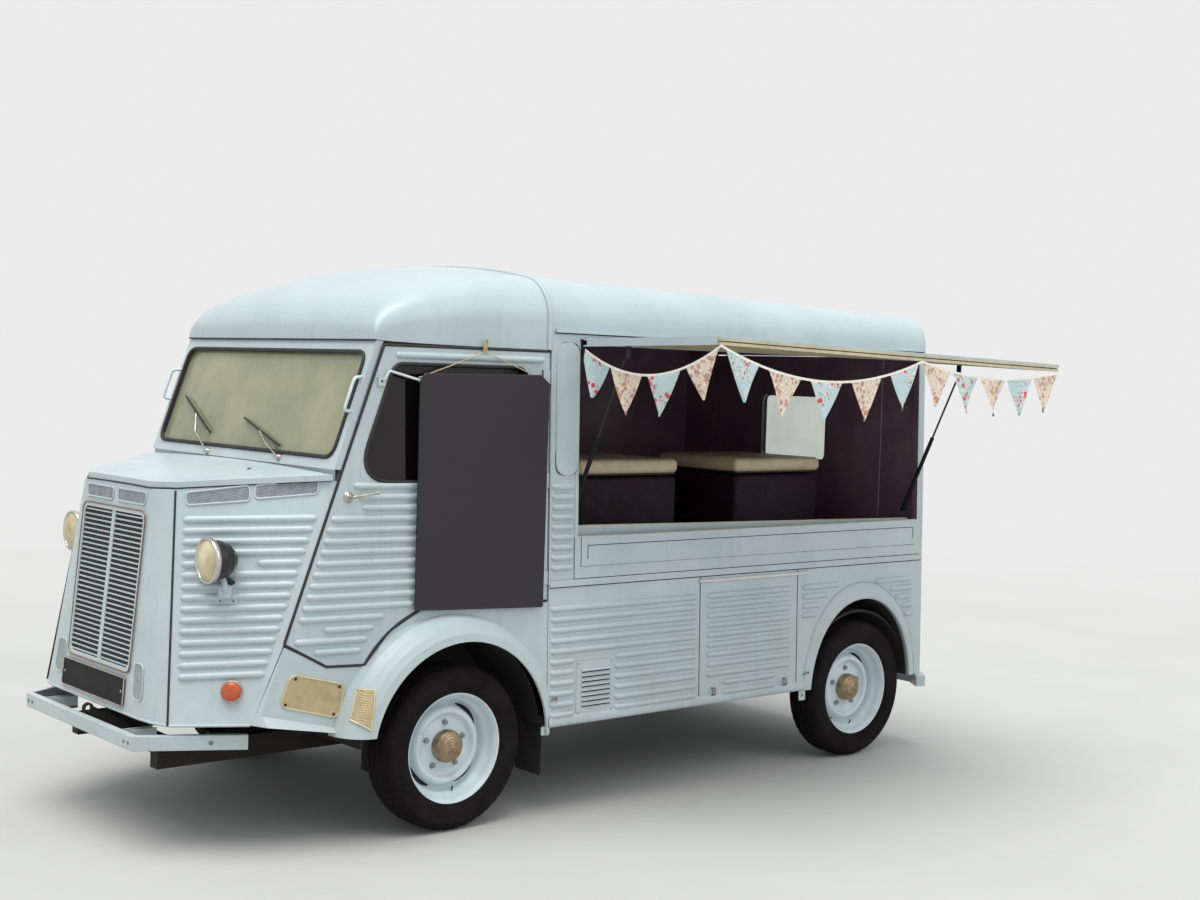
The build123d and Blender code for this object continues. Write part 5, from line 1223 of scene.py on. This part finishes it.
def cab_section(turn, grow=0.0):
    ahead_share, up_share = math.sin(turn), math.cos(turn)
    x = body_front_x + 2 + 819.0 * ahead_share
    half = 890.0 - 103.0 * ahead_share + grow
    ridge = 2010.0 + 356.0 * (0.1 + 0.9 * up_share) + grow
    return x, half, 2010.0 - 15 * up_share, ridge, max(22 + 168 * up_share + grow, 9.0), 6 + 116 * up_share


def skin_of(rings):
    return [p for ring in rings for p in ring], grid(len(rings), len(rings[0]))


turns = [math.radians(86.0) * (1 - (1 - i / 40) ** 1.3) for i in range(41)]
rings = [roof_ring(*cab_section(turn)) for turn in turns]
front = rings[-1]
for share, out in ((0.35, 2.2), (0.7, 3.2), (1.0, 3.4)):
    inward = 1 - 0.002 * share
    rings.append([Vector((p.x + out, p.y * inward, p.z + (2008.9 - p.z) * share)) for p in front])
inner_points, inner_faces = skin_of([roof_ring(*cab_section(turn, -25.0)) for turn in turns[:-6]])
cab_skin = joined([skin_of(rings), (inner_points, [face[::-1] for face in inner_faces])])
piece("cab_roof_skin", cab_skin, roof_paint, replaced="cab_roof")
band_section = ((-420.0, -1.0), (-420.5, 5.0), (-423.0, 7.5), (-438.0, 7.5), (-440.5, 5.0), (-441.0, -1.0))
band = [roof_ring(x, *cab_section(0.0, grow)[1:]) for x, grow in band_section]
piece("roof_seam_band", skin_of(band[::-1]), roof_paint)

# Freezers and their lids, a dark sheet of painted shade under the nose, the counter, and the board behind the
# sill
freezer_x = {"front": (-1500.0, -880.0), "rear": (-2520.0, -1900.0)}
cases = [((low, 10, 430), (high, 580, 1424)) for low, high in freezer_x.values()]
rounded_block("freezer_cases", cases, 22.0, freezer_black, replaced="freezers")
for place, (low, high) in freezer_x.items():
    body = "freezer_lid_" + place
    shell_box = ((low - 4, 6, 1436), (high + 4, 586, 1505))
    gasket_box = ((low + 6, 16, 1430), (high - 6, 576, 1438))
    rounded_block("lid_shell_" + place, [shell_box], 26.0, lid_white, body, replaced=body, segments=5)
    rounded_block("lid_gasket_" + place, [gasket_box], 2.0, rubber, body, "freezer_dark")
    hinges = [[Vector((x, 7, 1430)), Vector((x + 60, 7, 1430))] for x in (low + 60, high - 120)]
    tube("lid_hinges_" + place, hinges, 5.0, chrome_worn, body)
# Painted shade: a dark sheet under the nose, where there is only shadow
rounded_block("shade_under_nose", [((500, -505, 488), (1085, 505, 496))], 3.0, underbody_and_shade)
rounded_block("counter_top", [((-2920, 620, 1165), (-600, 838, 1190))], 5.0, shelf_wood, replaced="counter")
sill_corners = [Vector((x, 850, z)) for x, z in ((-2911, 1150), (-2911, 1198), (-601, 1238), (-601, 1150))]
plate("sill_board", sill_corners, Vector((0, 1, 0)), 14.0, paint)
# Painted highlight: pale lines along the sill's edges
sill_highlight_lines = [[Vector((-2911, 859, 1198.5)), Vector((-601, 859, 1238.5))],
              [on_side(x, 1195, -3) for x in (-2911, -601)]]
tube("sill_edge_highlight", sill_highlight_lines, 3.0, cream_rail, slot="body_paint")

# Lower sides: a sheet with the rear arch, its rolled edge and the slatted vent plate
arch_x, arch_z, arch_power = -2488.0, 334.0, 0.95
opening_half, opening_high, flare_half, flare_high = 384.0, 478.0, 436.0, 560.0
lip_y, low_edge_z, top_edge_z, arch_steps = 948.0, 385.0, 985.0, 56


def arch_point(share, along):
    """A point (x, z) of the arch: share 0 is the flare's outer edge, 1 the opening; along runs to the rear."""
    half = flare_half + (opening_half - flare_half) * share
    high = flare_high + (opening_high - flare_high) * share
    start = math.asin(((low_edge_z - arch_z) / high) ** (1 / arch_power))
    turn = start + (math.pi - 2 * start) * along
    across, up = math.cos(turn), max(math.sin(turn), 0.0)
    ahead_by = math.copysign(abs(across) ** arch_power, across)
    return arch_x + half * ahead_by, arch_z + high * up ** arch_power


edge = [(body_rear_x + 30, low_edge_z), (body_rear_x + 30, top_edge_z), (body_front_x, top_edge_z),
        (body_front_x, low_edge_z)]
edge += [arch_point(0.0, i / arch_steps) for i in range(arch_steps + 1)]
vent_edge = ((-813, 417), (-813, 657), (-602, 657), (-602, 417))
sheet_parts = [slab([on_side(x, z, -14.0) for x, z in edge], side_normal, 14.0),
               slab([on_side(x, z, -0.5) for x, z in vent_edge], side_normal, 3.5, 12.0)]
for z in louvre_z:
    section = ((0.0, z), (10.0, z + 3.0), (10.0, z + 5.0), (0.0, z + 18.25))
    points = [on_side(x, h, out) for x in (-793, -630) for out, h in section]
    sheet_parts.append((points, grid(2, 4, closed=True) + [(3, 2, 1, 0), (4, 5, 6, 7)]))
turns = [math.radians(10 * i) for i in range(10)]
stations = [(1 - math.cos(turn), math.sin(turn), 0.0) for turn in turns]
stations += [(1.03, 1.0, 2.0), (1.045, 1.0, 6.0), (1.045, 1.0, 24.0), (0.98, 1.0, 25.0)]
flare = []
for share, bulge, back in stations:
    for i in range(arch_steps + 1):
        x, z = arch_point(share, i / arch_steps)
        root_y = side_y(z) - 6.0
        flare.append(Vector((x, root_y + (lip_y - root_y) * bulge - back, z)))
flare_faces = [(a, d, c, b) for a, b, c, d in grid(len(stations), arch_steps + 1)]
liner_line = [arch_point(0.99, i / 24) for i in range(25)]
liner = [Vector((x, y, z)) for y in (926.0, 600.0) for x, z in liner_line]
liner_faces = grid(2, 25) + [tuple(range(25, 50))]
for hand, _ in hands:
    piece("lower_sheet_" + hand, sided(hand, joined(sheet_parts)), shell_paint, smooth=False,
          replaced="side_lower_" + hand)
    piece("arch_flare_" + hand, sided(hand, (flare, flare_faces)), paint)
    # The arch liner's near black is partly painted shade inside the arch
    piece("arch_liner_" + hand, sided(hand, (liner, liner_faces)), underbody_and_shade)
strip_edge = ((-2080, 955), (-2080, 968), (-1335, 968), (-1335, 955))
plate("ledge_strip", [on_side(x, z, 2.0) for x, z in strip_edge], side_normal, 7.0, strip_pale)

# Rear door furniture and ribs
grips = (("tailgate", "tailgate", 0.0, 1172.0), ("rear_left", "rear_door_left", 60.0, 1010.0))
for name, body, y, z in grips:
    bar = [on_rear(y + shift, z, out) for shift, out in ((-50, 3), (-50, 33), (50, 33), (50, 3))]
    tube("grip_" + name, [bar], 7.0, chrome_worn, body, bend=(14.0, 4))
    feet = joined([ball_head(p, backward, 14.0, 6.0) for p in (bar[0], bar[-1])])
    piece("grip_feet_" + name, feet, chrome_worn, body)
glass_edge = [on_rear(y, z, 1.0) for y, z in oblong(-240, 240, 1460, 1820)]
tube("rear_window_seal", [glass_edge], 8.0, rubber, "tailgate", bend=(40.0, 6), closed=True)
tailgate_z = [1980.0, 1934.0] + [1180.0 + 46.0 * line for line in range(6)]
door_z = [500.0 + 46.0 * line for line in range(12)]
for body, left_y, right_y, heights in (("tailgate", 580, -580, tailgate_z), ("rear_door_left", 590, 50, door_z),
                                       ("rear_door_right", -50, -590, door_z)):
    beads(body + "_ribs", [(on_rear(left_y, z), on_rear(right_y, z), backward) for z in heights], body)


# Seats as padded cushions
def cushion(name, low, high, axis):
    """A crowned pad between two corners, its sides drawn in and sewn channels across its face."""
    mesh = bmesh.new()
    bmesh.ops.create_cube(mesh, size=2.0)
    bmesh.ops.subdivide_edges(mesh, edges=mesh.edges[:], cuts=26, use_grid_fill=True)
    centre = (Vector(low) + Vector(high)) / 2
    half = (Vector(high) - Vector(low)) / 2
    first, second = (k for k in range(3) if k != axis)
    for corner in mesh.verts:
        a, b, t = corner.co[first], corner.co[second], corner.co[axis]
        edge = (1 - abs(a) ** 3.2) * (1 - abs(b) ** 3.2)
        channel = sum(math.exp(-((b - seam) / 0.035) ** 2) for seam in (-0.5, 0.0, 0.5))
        sewn = 1 - 0.16 * min(1.0, channel) * (1 - abs(a) ** 6)
        bulge = 1 - 0.05 * t * t
        share = Vector()
        share[first] = a * (1 - 0.035 * (1 - b * b) * a ** 4) * bulge
        share[second] = b * (1 - 0.035 * (1 - a * a) * b ** 4) * bulge
        share[axis] = t * (0.62 + 0.38 * max(0.0, edge) ** 0.32) * sewn * (1 + 0.12 * edge)
        corner.co = at(*(centre[k] + half[k] * share[k] for k in range(3)))
    made = of_bmesh(name, mesh, seat_skin, replaced="seats" if name == "seat_base_left" else None)


for hand, sign in hands:
    y0, y1 = sorted((sign * 232, sign * 628))
    cushion("seat_base_" + hand, (-318, y0, 832), (118, y1, 928), 2)
    cushion("seat_back_" + hand, (-398, y0, 864), (-322, y1, 1418), 0)
    frame_places = ((y0 + 30, 845), (y0 + 30, 1380), (y1 - 30, 1380), (y1 - 30, 845))
    frame_run = [Vector((-404, y, z)) for y, z in frame_places]
    tube("seat_frame_" + hand, [frame_run], 10.0, black_paint, slot="black_plastic", bend=(60.0, 6))

# Floor, light and background
backdrop = (0.84, 0.84, 0.84, 1.0)
floor_work = new_work("floor")
distance = floor_work.maths("LENGTH", floor_work.place, (0.0, 0.0, 0.0), "ShaderNodeVectorMath")
fade = floor_work.spread(distance, 5.0, 16.0, 0.0, 1.0)
greys = [(0.3, (0.42, 0.42, 0.41, 1)), (0.7, (0.45, 0.45, 0.44, 1))]
tone = floor_work.ramp(floor_work.noise(0.8, 3.0), greys)
floor_work.finish(tone, floor_work.spread(floor_work.noise(30.0), 0.3, 0.7, 0.75, 0.9))
glow = floor_work.add("ShaderNodeEmission", Color=backdrop)
faded = floor_work.maths("MULTIPLY", fade, floor_work.seen())
floor_work.surface(faded, floor_work.shader, glow, "Material Output")
ground = bpy.data.meshes.new("floor")
ground.from_pydata([(-60, -60, 0), (60, -60, 0), (60, 60, 0), (-60, 60, 0)], [], [(0, 1, 2, 3)])
ground.materials.append(floor_work.owner)
floor = bpy.data.objects.new("floor", ground)
bpy.context.scene.collection.objects.link(floor)
world = bpy.data.worlds.new("world")
bpy.context.scene.world = world
world_work = Nodes(world)
dim = world_work.tree.nodes["Background"]
dim.inputs["Color"].default_value = (0.95, 0.98, 1.0, 1.0)
dim.inputs["Strength"].default_value = 0.9
bright = world_work.add("ShaderNodeBackground", Color=backdrop)
world_work.surface(world_work.seen(), dim, bright, "World Output")


def lamp(name, kind, energy, colour, place, aim, **settings):
    data = bpy.data.lights.new(name, kind)
    data.energy = energy
    data.color = colour
    for key, value in settings.items():
        setattr(data, key, value)
    made = bpy.data.objects.new(name, data)
    bpy.context.scene.collection.objects.link(made)
    made.location = place
    made.rotation_euler = (Vector(aim) - Vector(place)).to_track_quat("-Z", "Y").to_euler()


lamp("sky", "SUN", 2.8, (1.0, 0.995, 0.98), (2.6, 1.0, 12), (0, 0, 0), angle=0.8)
lamp("fill", "AREA", 120.0, (0.98, 0.985, 1.0), (-2.5, 6.8, 6.2), (-0.8, 0, 1.0), size=5.0)

bpy.context.scene.view_settings.view_transform = "Standard"
